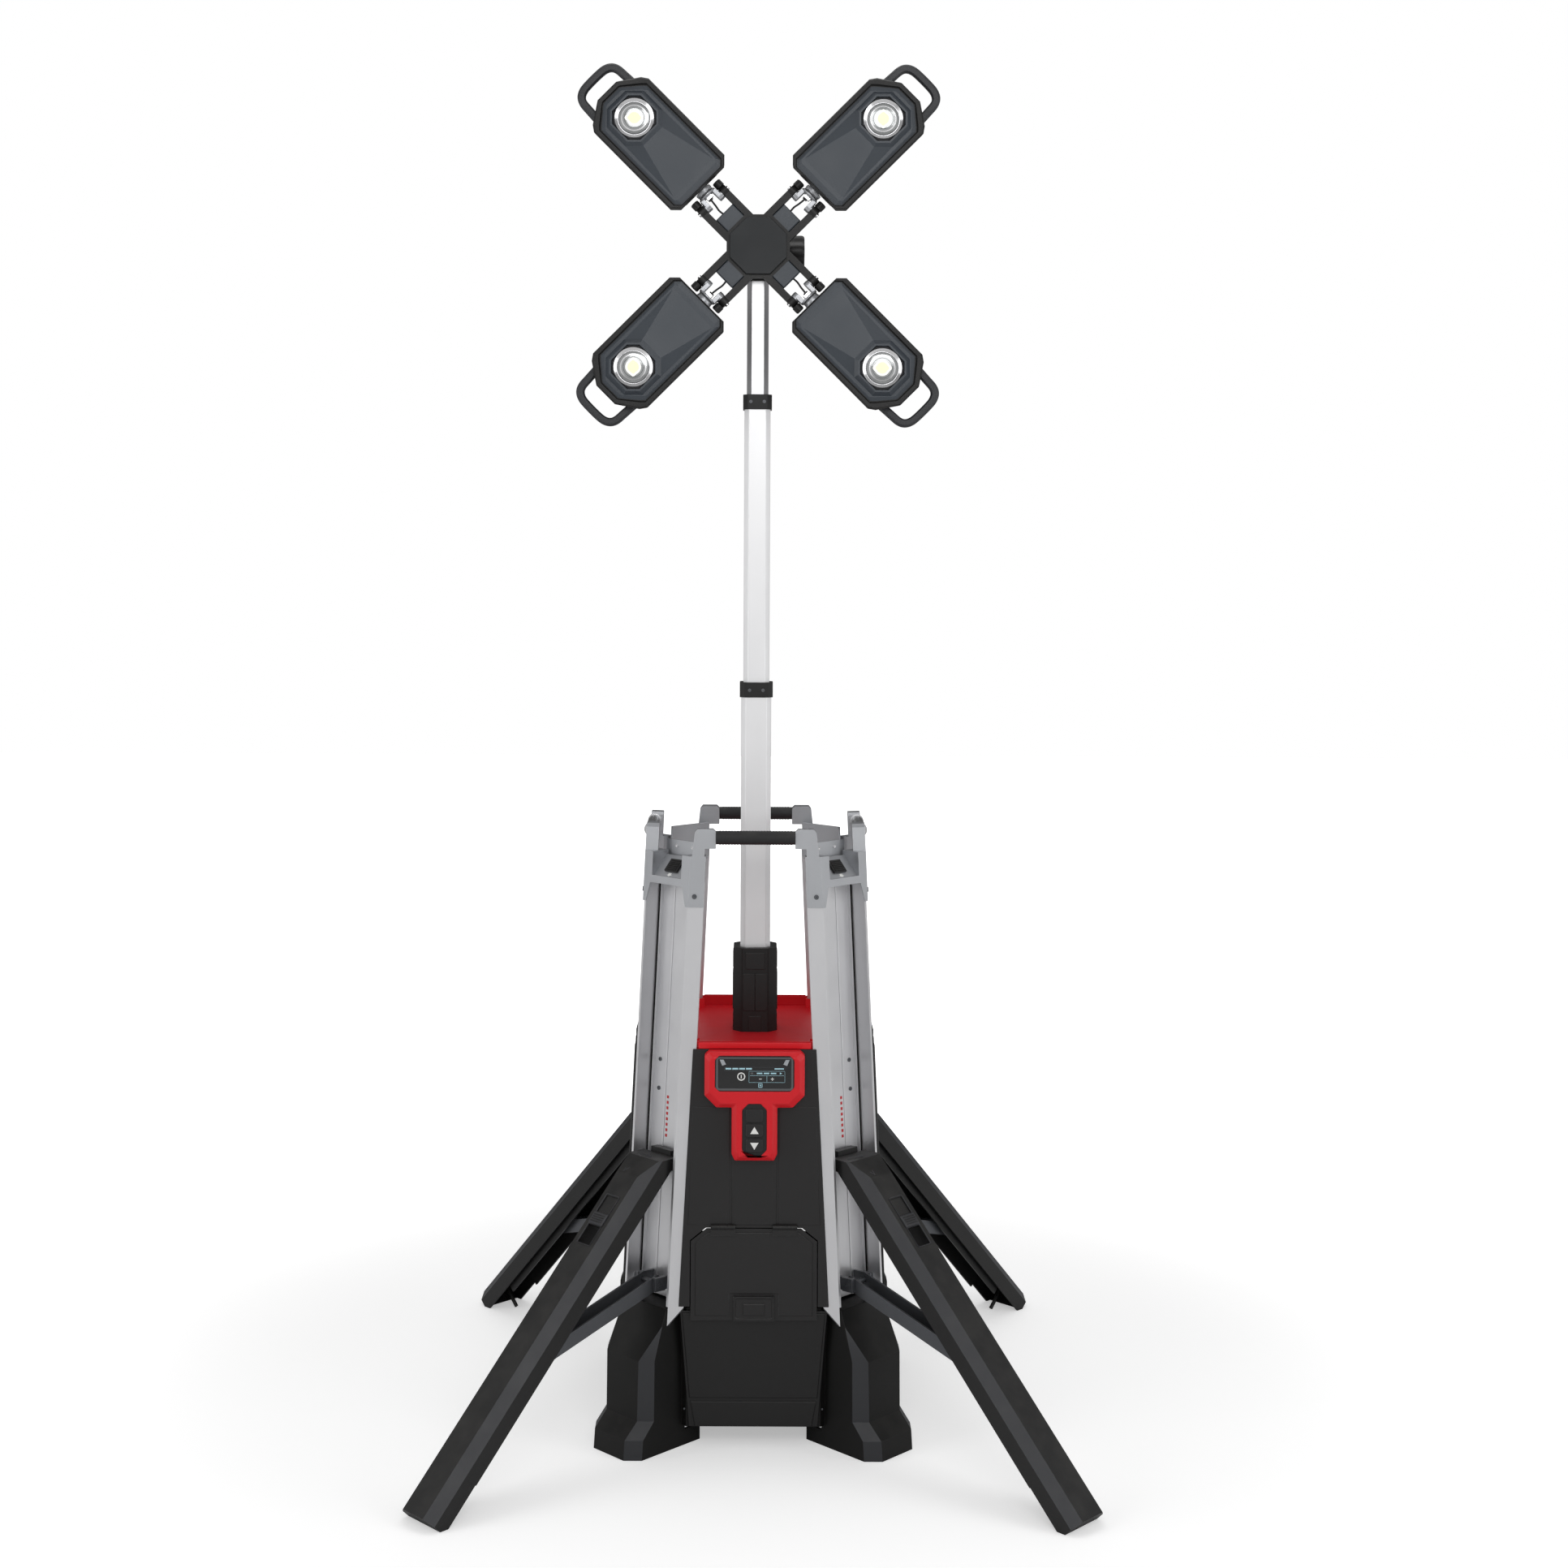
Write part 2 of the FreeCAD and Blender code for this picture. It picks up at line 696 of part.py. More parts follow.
def console_outline(inset):
    """The console's T in the panel's plane; heights from the console's foot."""
    grow = f"- ({inset})"
    return mirrored([
        (f"stem_half - stem_corner / 2 {grow}", f"stem_foot + ({inset})"),
        (f"stem_half {grow}", f"stem_foot + stem_corner + ({inset})"),
        (f"stem_half {grow}", f"console_foot + ({inset})"),
        (f"console_half - console_corner {grow}", f"console_foot + ({inset})"),
        (f"console_half {grow}", f"console_foot + console_corner + ({inset})"),
        (f"console_half {grow}", f"panel_top - console_top_corner - ({inset})"),
        (f"console_half - console_top_corner {grow}", f"panel_top - ({inset})"),
    ])


def control_console():
    """The red T on the front panel, with the display and the keypad let into it."""
    def section(inset):
        return [(u, f"{v} - stem_foot") for u, v in console_outline(inset)]
    lift = "seat_gap + panel_wall + seat_gap"
    shell = loft("console_shell", "xy", [
        (lift, section("0")),
        (f"{lift} + console_rise - console_bevel", section("0")),
        (f"{lift} + console_rise", section("console_bevel")),
    ])
    top = f"{lift} + console_rise"
    wells = []
    faces = {}
    for name in ("display", "keypad"):
        width, height = name + "_width", name + "_height"
        middle = f"{name}_level - stem_foot"
        corner = f"{height} * 0.12"

        def outline(gap, width=width, height=height, middle=middle, corner=corner):
            across, tall = f"({width}) / 2 + {gap}", f"({height}) / 2 + {gap}"
            return mirrored([
                (f"{across} - {corner}", f"{middle} - ({tall})"),
                (across, f"{middle} - ({tall}) + {corner}"),
                (across, f"{middle} + ({tall}) - {corner}"),
                (f"{across} - {corner}", f"{middle} + ({tall})"),
            ])
        wells.append(extrude(name + "_well", "xy", f"{top} - face_depth", f"{top} + 5", outline("0")))
        faces[name] = extrude(name + "_face", "xy", f"{top} - face_depth", f"{top} - 2",
                              outline("-seat_gap"))
    place = leaning(0, size("stem_foot"))
    node(cut("control_console", shell, wells), "control_console", place)
    node(faces["display"], "display_panel", place)
    buttons = [faces["keypad"]]
    for i in range(3):
        spot = ["0", f"keypad_level - stem_foot + {i - 1} * button_pitch - 1",
                f"{top} - 2 + button_rise / 2 - 0.5"]
        buttons.append(middle_box(f"button_{i}", spot, ["button_width", "button_height", "button_rise + 1"]))
    node(fuse("keypad", buttons), "keypad", place)


def top_tray():
    """The red tray between the posts' tops of the body, open round the mast's sleeve."""
    def outline(width, gap):
        half = f"({width} - flange_wall * 2 - {gap})"
        lane = f"(post_face / sqrt(2) + sqrt(2) * {gap})"
        deep = f"(sqrt(2) * ({width}) - post_face / 2 - channel_depth - channel_floor - {gap})"
        reach = f"({deep} / sqrt(2) - {lane} / 2)"
        far = f"({deep} / sqrt(2) + {lane} / 2)"
        corner = [(f"{half} - {lane}", f"-{half}"), (reach, f"-{far}"), (far, f"-{reach}"),
                  (half, f"-({half} - {lane})")]
        points = []
        for turn in range(4):
            for u, v in corner:
                points.append([(u, v), (f"-({v})", u), (f"-({u})", f"-({v})"), (v, f"-({u})")][turn])
        return points
    rim = WIDTH_AT.format("tray_rim")
    bowl = extrude("tray_bowl", "xy", "tray_floor", "tray_rim", outline(rim, "1"))
    inside = extrude("tray_inside", "xy", "tray_floor + 4", "tray_rim + 5", outline(rim, "1 + tray_wall"))
    hole = extrude("tray_hole", "xy", "tray_floor - 5", "tray_rim + 5",
                   octagon("sleeve_width + 2 * slide_gap", "sleeve_corner"))
    lips = []
    low = WIDTH_AT.format("panel_top")
    for i, turn in enumerate(QUARTERS):
        lip = box(f"tray_lip_{i}",
                  ["-(panel_half_top - 10)", f"-({low} + panel_wall)", "panel_top + seat_gap"],
                  ["2 * (panel_half_top - 10)", "panel_wall + 8", "tray_rim - panel_top - seat_gap"])
        lips.append(placed(f"tray_lip_placed_{i}", lip, Placement(ORIGIN, Rotation(UP, turn))))
    tray = cut("tray_cut", fuse("tray_whole", [bowl] + lips), [inside, hole])
    node(tray, "top_tray")


# The base's corner feet: height, reach along the corner, edge bevel, half breadth.
FOOT_SECTIONS = (
    ("0", "foot_reach + 3", "foot_bevel", "foot_half + 1"),
    ("toe_level", "foot_reach", "foot_bevel", "foot_half + 1"),
    ("waist_level", "foot_waist + 2", "foot_bevel - 2", "foot_half"),
    ("crease_level", "foot_waist", "foot_bevel - 3", "foot_half"),
    ("flange_foot", "foot_shoulder", "1", "foot_half - 5"),
    ("base_top", "foot_crown", "1", "foot_half - 5"),
)


def foot(name, inset, low, high):
    """One corner foot along +X, shrunk by a wall; only levels between low and high count."""
    sections = []
    for level, reach, bevel, breadth in FOOT_SECTIONS:
        half = f"({breadth} - {inset})"
        inner = "foot_inner" if inset == "0" else "foot_inner - 20"
        corner = f"({bevel})"
        outline = [(inner, f"-{half}"), (f"{reach} - {inset} - {corner}", f"-{half}"),
                   (f"{reach} - {inset}", f"-({half} - {corner})"),
                   (f"{reach} - {inset}", f"{half} - {corner}"),
                   (f"{reach} - {inset} - {corner}", half), (inner, half)]
        if level == "0":
            level = low
        if level == "base_top":
            level = high
        sections.append((level, outline))
    return loft(name, "xy", sections)


def base_shell():
    """The moulded base: four corner feet, a deck and arches between the feet."""
    def core(name, inset, low, high):
        half, corner = f"(base_front - {inset})", f"(base_corner - {inset})"
        quarter = [(half, f"-{corner}"), (half, corner)]
        points = []
        for turn in range(4):
            for u, v in quarter:
                points.append([(u, v), (f"-({v})", u), (f"-({u})", f"-({v})"), (v, f"-({u})")][turn])
        return extrude(name, "xy", low, high, points)
    outer = [core("base_core", "0", "arch_height", "base_top")]
    hollow = [core("base_hollow", "base_wall", "arch_height - 10", "deck_top - deck_wall")]
    for corner, azimuth in CORNERS.items():
        for pieces, name, inset, low, high in (
                (outer, "foot_", "0", "0", "base_top"),
                (hollow, "foot_hollow_", "base_wall", "-1", "deck_top - deck_wall")):
            piece = foot(name + corner, inset, low, high)
            piece.Placement = Placement(ORIGIN, Rotation(UP, azimuth))
            pieces.append(piece)
    shell = cut("base_walls", fuse("base_outer", outer), [fuse("base_inner", hollow)])
    long, short = "2 * (base_front - base_wall)", "2 * (base_corner - base_wall)"
    bay = middle_box("bay_cut", ["0", "0", "1.5 * deck_top"], [long, short, "deck_top"])
    across = middle_box("bay_cut_across", ["0", "0", "1.5 * deck_top"], [short, long, "deck_top"])
    mast_hole = extrude("deck_hole", "xy", "deck_top - 20", "deck_top + 20",
                        octagon("casing_width - 8", "mast_corner"))
    wells = []
    ribs = []
    top = "2 * wheel_radius + wheel_lift + well_gap"
    for name, sign in (("left", "-"), ("right", "")):
        wells.append(box("wheel_well_" + name,
                         [f"{sign}wheel_place - wheel_width / 2 - well_gap",
                          "wheel_back - wheel_radius - well_gap", "-10"],
                         ["wheel_width + 2 * well_gap", "2 * wheel_radius + 50", f"{top} + 10"]))
        ribs.append(box("axle_rib_" + name,
                        [f"{sign}(wheel_place - wheel_width / 2 - well_gap) - base_wall / 2",
                         "wheel_back - 30", "wheel_radius + wheel_lift - 30"],
                        ["base_wall", "base_front - wheel_back + 30 - base_wall / 2",
                         "deck_top - deck_wall / 2 - wheel_radius - wheel_lift + 30"]))
    axle_hole = middle_cylinder("axle_hole", "x", ["0", "wheel_back", "wheel_radius + wheel_lift"],
                                "axle_radius + axle_gap", "2 * base_front")
    shell = cut("base_open", shell, [bay, across, mast_hole] + wells)
    base = cut("base_shell", fuse("base_ribbed", [shell] + ribs), [axle_hole])
    node(base, "base_shell")
    apron = extrude("base_apron", "xz", "-(base_front + apron_wall)", "-(base_front + seat_gap)",
                    mirrored([("apron_half_foot", "arch_height + 2"),
                              ("apron_half_top", "base_top - 4")]))
    node(apron, "base_apron")


def wheels():
    """Two wheels on one axle behind the base's back edge."""
    level = size("wheel_radius") + size("wheel_lift")
    back = size("wheel_back")
    outer = "wheel_place + wheel_width / 2 + 6"
    axle = middle_cylinder("wheel_axle", "x", ["0", "wheel_back", "wheel_radius + wheel_lift"],
                           "axle_radius", f"2 * ({outer})")
    node(axle, "wheel_axle")
    half = "wheel_width / 2"
    rim = "(wheel_radius - tread_depth)"
    bore = "(axle_radius + axle_gap)"
    for side, sign in (("left", -1), ("right", 1)):
        place = Placement(Vector(sign * size("wheel_place"), back, level),
                          Rotation(Vector(0, 1, 0), 90 * sign))
        # Half sections: x is the radius, y runs along the axle.
        table = {
            "wheel_": [(bore, f"-{half}"), (f"{bore} + hub_boss", f"-{half}"),
                       (f"{bore} + hub_boss", "-disc_half"), (f"{rim} - 8", "-disc_half"),
                       (f"{rim} - 8", f"-{half} + 3"), (rim, f"-{half} + 3"), (rim, f"{half} - 3"),
                       (f"{rim} - 8", f"{half} - 3"), (f"{rim} - 8", "disc_half"),
                       (f"{bore} + hub_boss", "disc_half"), (f"{bore} + hub_boss", half), (bore, half)],
            "tyre_": [(rim, f"-{half} + 3"), (f"{rim} + 7", f"-{half}"), ("wheel_radius - 7", f"-{half}"),
                      ("wheel_radius", f"-{half} + 7"), ("wheel_radius", f"{half} - 7"),
                      ("wheel_radius - 7", half), (f"{rim} + 7", half), (rim, f"{half} - 3")],
        }
        for name, corners in table.items():
            turned = new_body(name + side)
            sketch = body_sketch(turned, "xz")
            draw(sketch, corners)
            made = turned.newObject("PartDesign::Revolution", f"{name}{side}_turned")
            made.Profile = sketch
            made.ReferenceAxis = (sketch, ["V_Axis"])
            made.Angle = 360
            node(turned, name + side, place)


def mast():
    """Three telescopic sections, their collars, and the sleeve that carries them."""
    stow = "deck_top + tube_step"
    feet = {
        "lower": f"{stow} + lower_stroke",
        "middle": f"{stow} + tube_step + lower_stroke + middle_stroke",
        "upper": f"{stow} + 2 * tube_step + lower_stroke + middle_stroke + upper_stroke",
    }
    tops = {"lower": "lower_top - collar_lip", "middle": "middle_top - collar_lip",
            "upper": "head_foot + collar_height - collar_lip"}
    for name in feet:
        tube = new_body("mast_tube_" + name)
        width = f"{name}_width"
        pad(tube, "xy", f"{tops[name]} - ({feet[name]})",
            [octagon(width, "mast_corner"),
             octagon(f"{width} - 2 * mast_wall", "mast_corner - 0.6 * mast_wall")],
            lift=feet[name])
        node(tube, "mast_tube_" + name)
    collars = (("collar_lower", "lower_collar_width", "lower_width", "middle_width", "lower_top"),
               ("collar_upper", "upper_collar_width", "middle_width", "upper_width", "middle_top"))
    for name, width, seat, bore, top in collars:
        collar = new_body(name)
        pad(collar, "xy", "collar_height", [octagon(width, "mast_corner"),
                                            octagon(f"{bore} + 2 * slide_gap", "mast_corner")],
            lift=f"{top} - collar_height")
        pocket(collar, "xy", "collar_height - collar_lip", outlines=[octagon(seat, "mast_corner")],
               lift=f"{top} - collar_height", back=True)
        node(collar, name)
    sleeve = new_body("mast_sleeve")
    bore = octagon("lower_width + 2 * slide_gap", "mast_corner")
    pad(sleeve, "xy", "tray_floor - 10 - deck_top", [octagon("casing_width", "mast_corner"), bore],
        lift="deck_top")
    pad(sleeve, "xy", "sleeve_top - tray_floor + 10", [octagon("sleeve_width", "sleeve_corner"), bore],
        lift="tray_floor - 10")
    node(sleeve, "mast_sleeve")


def mast_head():
    """The cap on the upper tube, with the lug that the hub tilts on."""
    cap = extrude("head_cap", "xy", "head_foot", "head_foot + collar_height",
                  octagon("upper_width + 6", "mast_corner"))
    seat = extrude("head_seat", "xy", "head_foot - 5", "head_foot + collar_height - collar_lip",
                   octagon("upper_width", "mast_corner"))
    lug = middle_cylinder("tilt_lug", "x", ["0", "0", TILT], "tilt_radius", "tilt_lug")
    neck = box("tilt_neck", ["-tilt_lug / 2", "-tilt_radius", "head_foot + collar_height - collar_lip + 2"],
               ["tilt_lug", "2 * tilt_radius", "tilt_rise - collar_height + collar_lip - 2"])
    bore = middle_cylinder("tilt_bore", "x", ["0", "0", TILT], "tilt_pin + slide_gap", "2 * tilt_lug")
    whole = fuse("head_whole", [cut("head_socket", cap, [seat]), lug, neck])
    node(cut("mast_head", whole, [bore]), "mast_head")


def hub():
    """The octagonal hub, its four pairs of arms, its tilt ears, pin and knob."""
    def plate(name, across, low, high):
        corner = f"({across}) * (1 - tan(22.5)) / 2"
        corners = [(u, f"{v} + {TILT} + hub_rise") for u, v in octagon(across, corner)]
        return extrude(name, "xz", low, high, corners)
    pieces = [plate("hub_plate", "hub_across", "-(hub_back + hub_depth)", "-hub_back")]
    front = "-(hub_back + hub_depth)"
    for turn in range(4):
        arm_pieces = []
        for side, sign in (("left", "-"), ("right", "")):
            middle = f"{sign}arm_spread"
            arm_pieces.append(box(f"arm_{turn}_{side}",
                                  ["hub_across * 0.3", front, f"{middle} - arm_width / 2"],
                                  ["fold_radius - hub_across * 0.3", "hub_depth", "arm_width"]))
            arm_pieces.append(middle_cylinder(f"arm_end_{turn}_{side}", "z",
                                              ["fold_radius", "-(hub_back + hub_depth / 2)", middle],
                                              "arm_end", "arm_width"))
            cap_start = "(fork_eye + yoke_gap)"
            arm_pieces.append(cylinder(f"fold_cap_{turn}_{side}", "x",
                                       [f"fold_radius + {cap_start}", "-(hub_back + hub_depth / 2)", middle],
                                       "cap_radius", f"arm_end + cap_length - {cap_start}"))
            stub = f"{sign}(arm_spread + fork_outer - fork_arm) / 2"
            arm_pieces.append(middle_cylinder(f"fold_pin_{turn}_{side}", "z",
                                              ["fold_radius", "-(hub_back + hub_depth / 2)", stub],
                                              "pin_radius", "arm_spread - fork_outer + fork_arm - 1"))
        arm_pieces.append(box(f"arm_wedge_{turn}", ["hub_across * 0.3", f"{front} + 3", "-wedge_width / 2"],
                              ["wedge_reach - hub_across * 0.3", "hub_depth - 3", "wedge_width"]))
        arm = fuse(f"arm_pair_{turn}", arm_pieces)
        arm.Placement = Placement(Vector(0, 0, HUB_LEVEL), Rotation(Vector(0, 1, 0), -45 - 90 * turn))
        pieces.append(arm)
    for side, sign in (("left", "-"), ("right", "")):
        middle = f"{sign}(tilt_lug / 2 + ear_gap + ear_wall / 2)"
        pieces.append(middle_cylinder("ear_end_" + side, "x", [middle, "0", TILT],
                                      "tilt_radius", "ear_wall"))
        pieces.append(box("ear_" + side,
                          [f"{middle} - ear_wall / 2", "-hub_back - 1", f"{TILT} - tilt_radius"],
                          ["ear_wall", "hub_back + 1", "2 * tilt_radius"]))
    pieces.append(cylinder("tilt_shaft", "x", ["-(tilt_lug / 2 + ear_gap + ear_wall / 2)", "0", TILT],
                           "tilt_pin", "knob_place + tilt_lug / 2 + ear_gap + ear_wall / 2"))
    node(fuse("hub_frame", pieces), "hub_frame")
    node(plate("hub_cover", "cover_across", "-(hub_back + hub_depth + cover_depth)",
               "-(hub_back + hub_depth + seat_gap)"), "hub_cover")
    deep, tall = "knob_depth / 2", "knob_across / 2"
    knob = extrude("knob_block", "yz", "knob_place - knob_width / 2", "knob_place + knob_width / 2",
                   [(u, f"{v} + {TILT}") for u, v in mirrored([
                       (f"{deep} - knob_corner", f"-({tall})"), (deep, f"-({tall}) + knob_corner"),
                       (deep, f"{tall} - knob_corner"), (f"{deep} - knob_corner", tall)])])
    shaft = cylinder("knob_bore", "x", ["0", "0", TILT], "tilt_pin + axle_gap", "knob_place + 1")
    node(cut("tilt_knob", knob, [shaft]), "tilt_knob")


HEADS = {"upper_right": 45, "upper_left": 135, "lower_left": 225, "lower_right": 315}


def head_outline(half, corner, nose, run, start, end):
    """A housing's section: x along the head, y across; square at the hub end."""
    one = [(start, f"{half} - {corner}"), (f"{start} + {corner}", half), (f"{end} - {run}", half),
           (end, nose)]
    return one + [(u, f"-({v})") for u, v in reversed(one)]


def head_place(azimuth):
    """X out from the hub along an arm pair, Z to the front, origin on the fold axis."""
    turn = Rotation(Vector(0, 1, 0), -azimuth).multiply(Rotation(Vector(1, 0, 0), 90))
    centre = Vector(0, -(size("hub_back") + size("hub_depth") / 2), HUB_LEVEL)
    out = Rotation(Vector(0, 1, 0), -azimuth).multVec(Vector(size("fold_radius"), 0, 0))
    return Placement(centre.add(out), turn)


def light_head(name, azimuth):
    """A fork on the hub's arms, a housing with its carrying bail, and a lens."""
    place = head_place(azimuth)
    eye_end = "(arm_spread - arm_width / 2 - yoke_gap)"
    arm_start = "(fork_outer - fork_arm)"
    pieces = [cylinder(name + "_plate", "x", ["fork_root", "0", "0"], "fork_outer", "fork_plate"),
              cylinder(name + "_neck", "x", ["fork_root", "0", "0"], "neck_radius",
                       "head_start + 12 - fork_root")]
    for side, sign in (("left", "-"), ("right", "")):
        pieces.append(middle_cylinder(f"{name}_eye_{side}", "y",
                                      ["0", f"{sign}({eye_end} + {arm_start}) / 2", "0"],
                                      "fork_eye", f"{eye_end} - {arm_start}"))
        pieces.append(middle_box(f"{name}_arm_{side}",
                                 ["(fork_root + 2) / 2", f"{sign}(fork_outer - fork_arm / 2)", "0"],
                                 ["fork_root + 2", "fork_arm", "2 * fork_eye"]))
    bore = middle_cylinder(name + "_eye_bore", "y", ["0", "0", "0"], "pin_radius + slide_gap",
                           "4 * fork_outer")
    node(cut("head_yoke_" + name, fuse(name + "_yoke_whole", pieces), [bore]), "head_yoke_" + name, place)
    start, end = "head_start", "(head_start + head_length)"
    full = head_outline("head_half", "head_corner", "head_nose_half", "head_nose_run", start, end)
    back = head_outline("head_back_half", "head_corner * 0.6", "head_nose_half * 0.7", "head_nose_run",
                        f"{start} + 4", f"{end} - 18")
    recess = head_outline("(head_half - rim_wall)", "head_corner * 0.8", "(head_nose_half - 3)",
                          "head_nose_run * 0.9", f"{start} + rim_wall", f"{end} - rim_wall")
    shell = loft(name + "_shell", "xy", [("-head_back", back), ("-head_back + head_step", back),
                                         ("-head_back + 3 * head_step", full), ("head_front", full)])
    well = extrude(name + "_well", "xy", "head_front - rim_depth", "head_front + 5", recess)

    def lens_plate(part):
        corners = octagon(part + "_across", part + "_corner")
        return [(f"{u} + {end} - lens_place", v) for u, v in corners]
    crest = "head_front - rim_depth + bezel_rise"
    bezel = loft(name + "_bezel", "xy", [("head_front - rim_depth - 1", lens_plate("bezel")),
                                         (crest, lens_plate("ring"))])
    lens_well = extrude(name + "_lens_well", "xy", f"{crest} - lens_depth", f"{crest} + 5",
                        lens_plate("lens"))
    rod = "bail_rod"
    tip = f"{end} + bail_reach"
    loop = [
        (f"{end} - bail_root", "bail_half + 8"), (f"{end} - 4", "bail_half + 4"),
        (f"{tip} - 16", "bail_half - 12"), (tip, "bail_half - 24"),
    ]
    gap = [
        (f"{end} - bail_root + {rod}", f"bail_half + 8 - {rod}"), (f"{end} - 8", f"bail_half + 3 - {rod}"),
        (f"{tip} - 22", f"bail_half - 16 - {rod} * 0.6"), (f"{tip} - {rod}", f"bail_half - 29 - {rod} * 0.3"),
    ]
    bail = extrude(name + "_bail", "xy", "bail_level", "bail_level + bail_rod",
                   loop + [(u, f"-({v})") for u, v in reversed(loop)],
                   [gap + [(u, f"-({v})") for u, v in reversed(gap)]])
    neck_bore = cylinder(name + "_neck_bore", "x", ["0", "0", "0"], "neck_radius + neck_gap",
                         "head_start + 14")
    whole = fuse(name + "_solid", [cut(name + "_open", shell, [well]), bezel, bail])
    node(cut("head_housing_" + name, whole, [lens_well, neck_bore]), "head_housing_" + name, place)
    lens = extrude("head_lens_" + name, "xy", f"{crest} - lens_depth", f"{crest} - 1", lens_plate("lens"))
    node(lens, "head_lens_" + name, place)


# The leg linkage in the plane through the mast and a corner: radius and height.
HEAD_PIVOT = (face_radius(size("slider_height")) - size("pivot_setback"), size("slider_height"))
FOOT_PIVOT = (face_radius(size("bracket_height")) - size("pivot_setback"), size("bracket_height"))
SLOPE = math.radians(size("leg_slope"))
BRACE_PIVOT = (HEAD_PIVOT[0] + size("brace_from") * math.cos(SLOPE),
               HEAD_PIVOT[1] - size("brace_from") * math.sin(SLOPE))
BRACE_RUN = BRACE_PIVOT[0] - FOOT_PIVOT[0]
BRACE_FALL = FOOT_PIVOT[1] - BRACE_PIVOT[1]
BRACE_LENGTH = math.hypot(BRACE_RUN, BRACE_FALL)
BRACE_SLOPE = math.atan2(BRACE_FALL, BRACE_RUN)


def leg_bracket(name, azimuth):
    """Two ears on the post's channel floor with the brace's pin; x points out."""
    ears = []
    inner = "brace_half + bracket_gap"
    floor = "-(channel_depth - pivot_setback - seat_gap)"
    for side, spot in (("left", f"-({inner} + bracket_wall)"), ("right", inner)):
        ears.append(box(f"{name}_ear_{side}", [floor, spot, "-12"],
                        [f"bracket_rise - ({floor})", "bracket_wall", "24"]))
    pin = middle_cylinder(name + "_pin", "y", ["0", "0", "0"], "pin_radius",
                          "2 * (brace_half + bracket_gap) + 4")
    bracket = fuse("bracket_" + name, ears + [pin])
    bracket.Placement = radial(azimuth, *FOOT_PIVOT, -math.degrees(RADIAL_LEAN))
    return bracket


def leg_slider(name, azimuth):
    """The block that runs in the post's channel, with the lug for the leg's head."""
    floor = "-(channel_depth - pivot_setback - slider_lift)"
    block = box(name + "_block", [floor, "-slider_half", "-slider_drop"],
                [f"-slider_front - ({floor})", "2 * slider_half", "slider_drop + slider_rise"])
    web = box(name + "_web", ["-slider_front - 1", "-lug_half", "-boss_radius"],
              ["slider_front + 1", "2 * lug_half", "2 * boss_radius"])
    lug = middle_cylinder(name + "_lug", "y", ["0", "0", "0"], "boss_radius", "2 * lug_half")
    node(fuse("leg_slider_" + name, [block, web, lug]), "leg_slider_" + name,
         radial(azimuth, *HEAD_PIVOT, -math.degrees(RADIAL_LEAN)))


def outrigger_leg(name, azimuth):
    """A black channel, open below, from its head pivot to its foot; x along the leg."""
    leg = new_body("outrigger_leg_" + name)
    bevel, wall = "leg_bevel", "leg_wall"
    outer = [("leg_half", "-leg_skirt"), ("leg_half", f"leg_top - {bevel}"),
             (f"leg_half - {bevel}", "leg_top")]
    turn_in = f"{wall} * (sqrt(2) - 1)"
    inner = [(f"leg_half - {bevel} - {turn_in}", f"leg_top - {wall}"),
             (f"leg_half - {wall}", f"leg_top - {bevel} - {turn_in}"), (f"leg_half - {wall}", "-leg_skirt")]
    profile = outer + [(f"-({u})", v) for u, v in reversed(outer)]
    profile = profile + [(f"-({u})", v) for u, v in reversed(inner)] + inner
    pad(leg, "yz", "leg_head + leg_length", [profile], lift="-leg_head")
    rails = []
    root = "leg_top - leg_bevel + leg_half - rail_half"
    for sign in ("", "-"):
        edge = [(f"{sign}rail_half", "-rail_drop"), (f"{sign}rail_half", f"{root} - {wall}"),
                (f"{sign}(rail_half - {wall})", root), (f"{sign}(rail_half - {wall})", "-rail_drop")]
        rails.append(edge)
    pad(leg, "yz", "leg_head + leg_length - rail_end", rails, lift="-leg_head")
    cap = mirrored([("rail_half", "leg_skirt + 8"), ("leg_half - 2", f"leg_top - {bevel} - 1"),
                    (f"leg_half - {bevel} - 1", "leg_top - 2")])
    pad(leg, "yz", wall, [cap], lift="-leg_head")
    tip = mirrored([("leg_half - 2", "-leg_skirt"), ("leg_half - 2", f"leg_top - {bevel} - 1"),
                    (f"leg_half - {bevel} - 1", "leg_top - 2")])
    pad(leg, "yz", wall, [tip], lift=f"leg_length - {wall}")
    pad(leg, "xz", "2 * rail_half - 2", rings=[(("0", "0"), "boss_radius")], middle=True)
    pad(leg, "xz", "2 * rail_half - 2", rings=[(("brace_from", "0"), "boss_radius")], middle=True)
    gaps = (("0", "2 * (lug_half + boss_gap)"), ("brace_from", "2 * (brace_half + boss_gap)"))
    for spot, width in gaps:
        reach = "boss_radius + 2"
        square = mirrored([(reach, f"-({reach})"), (reach, reach)])
        pocket(leg, "xz", width, outlines=[[(f"{u} + {spot}", v) for u, v in square]], middle=True)
    pad(leg, "xz", "2 * (brace_half + boss_gap) + 4", rings=[(("brace_from", "0"), "pin_radius")], middle=True)
    pad(leg, "xy", "stud_drop + leg_top - 2", rings=[(("leg_length - stud_end", "0"), "stud_radius")],
        lift="-stud_drop")
    floor = "((({}) * sin(leg_slope) - slider_height) / cos(leg_slope))"
    low = "-(rail_drop + 20)"
    start = f"(slider_height + ({low}) * cos(leg_slope)) / sin(leg_slope)"
    far = "leg_length + 10"
    under = [(start, low), (far, floor.format(far)), (far, low)]
    pocket(leg, "xz", "4 * leg_half", outlines=[under], middle=True)
    node(leg, "outrigger_leg_" + name, radial(azimuth, *HEAD_PIVOT, math.degrees(SLOPE)))


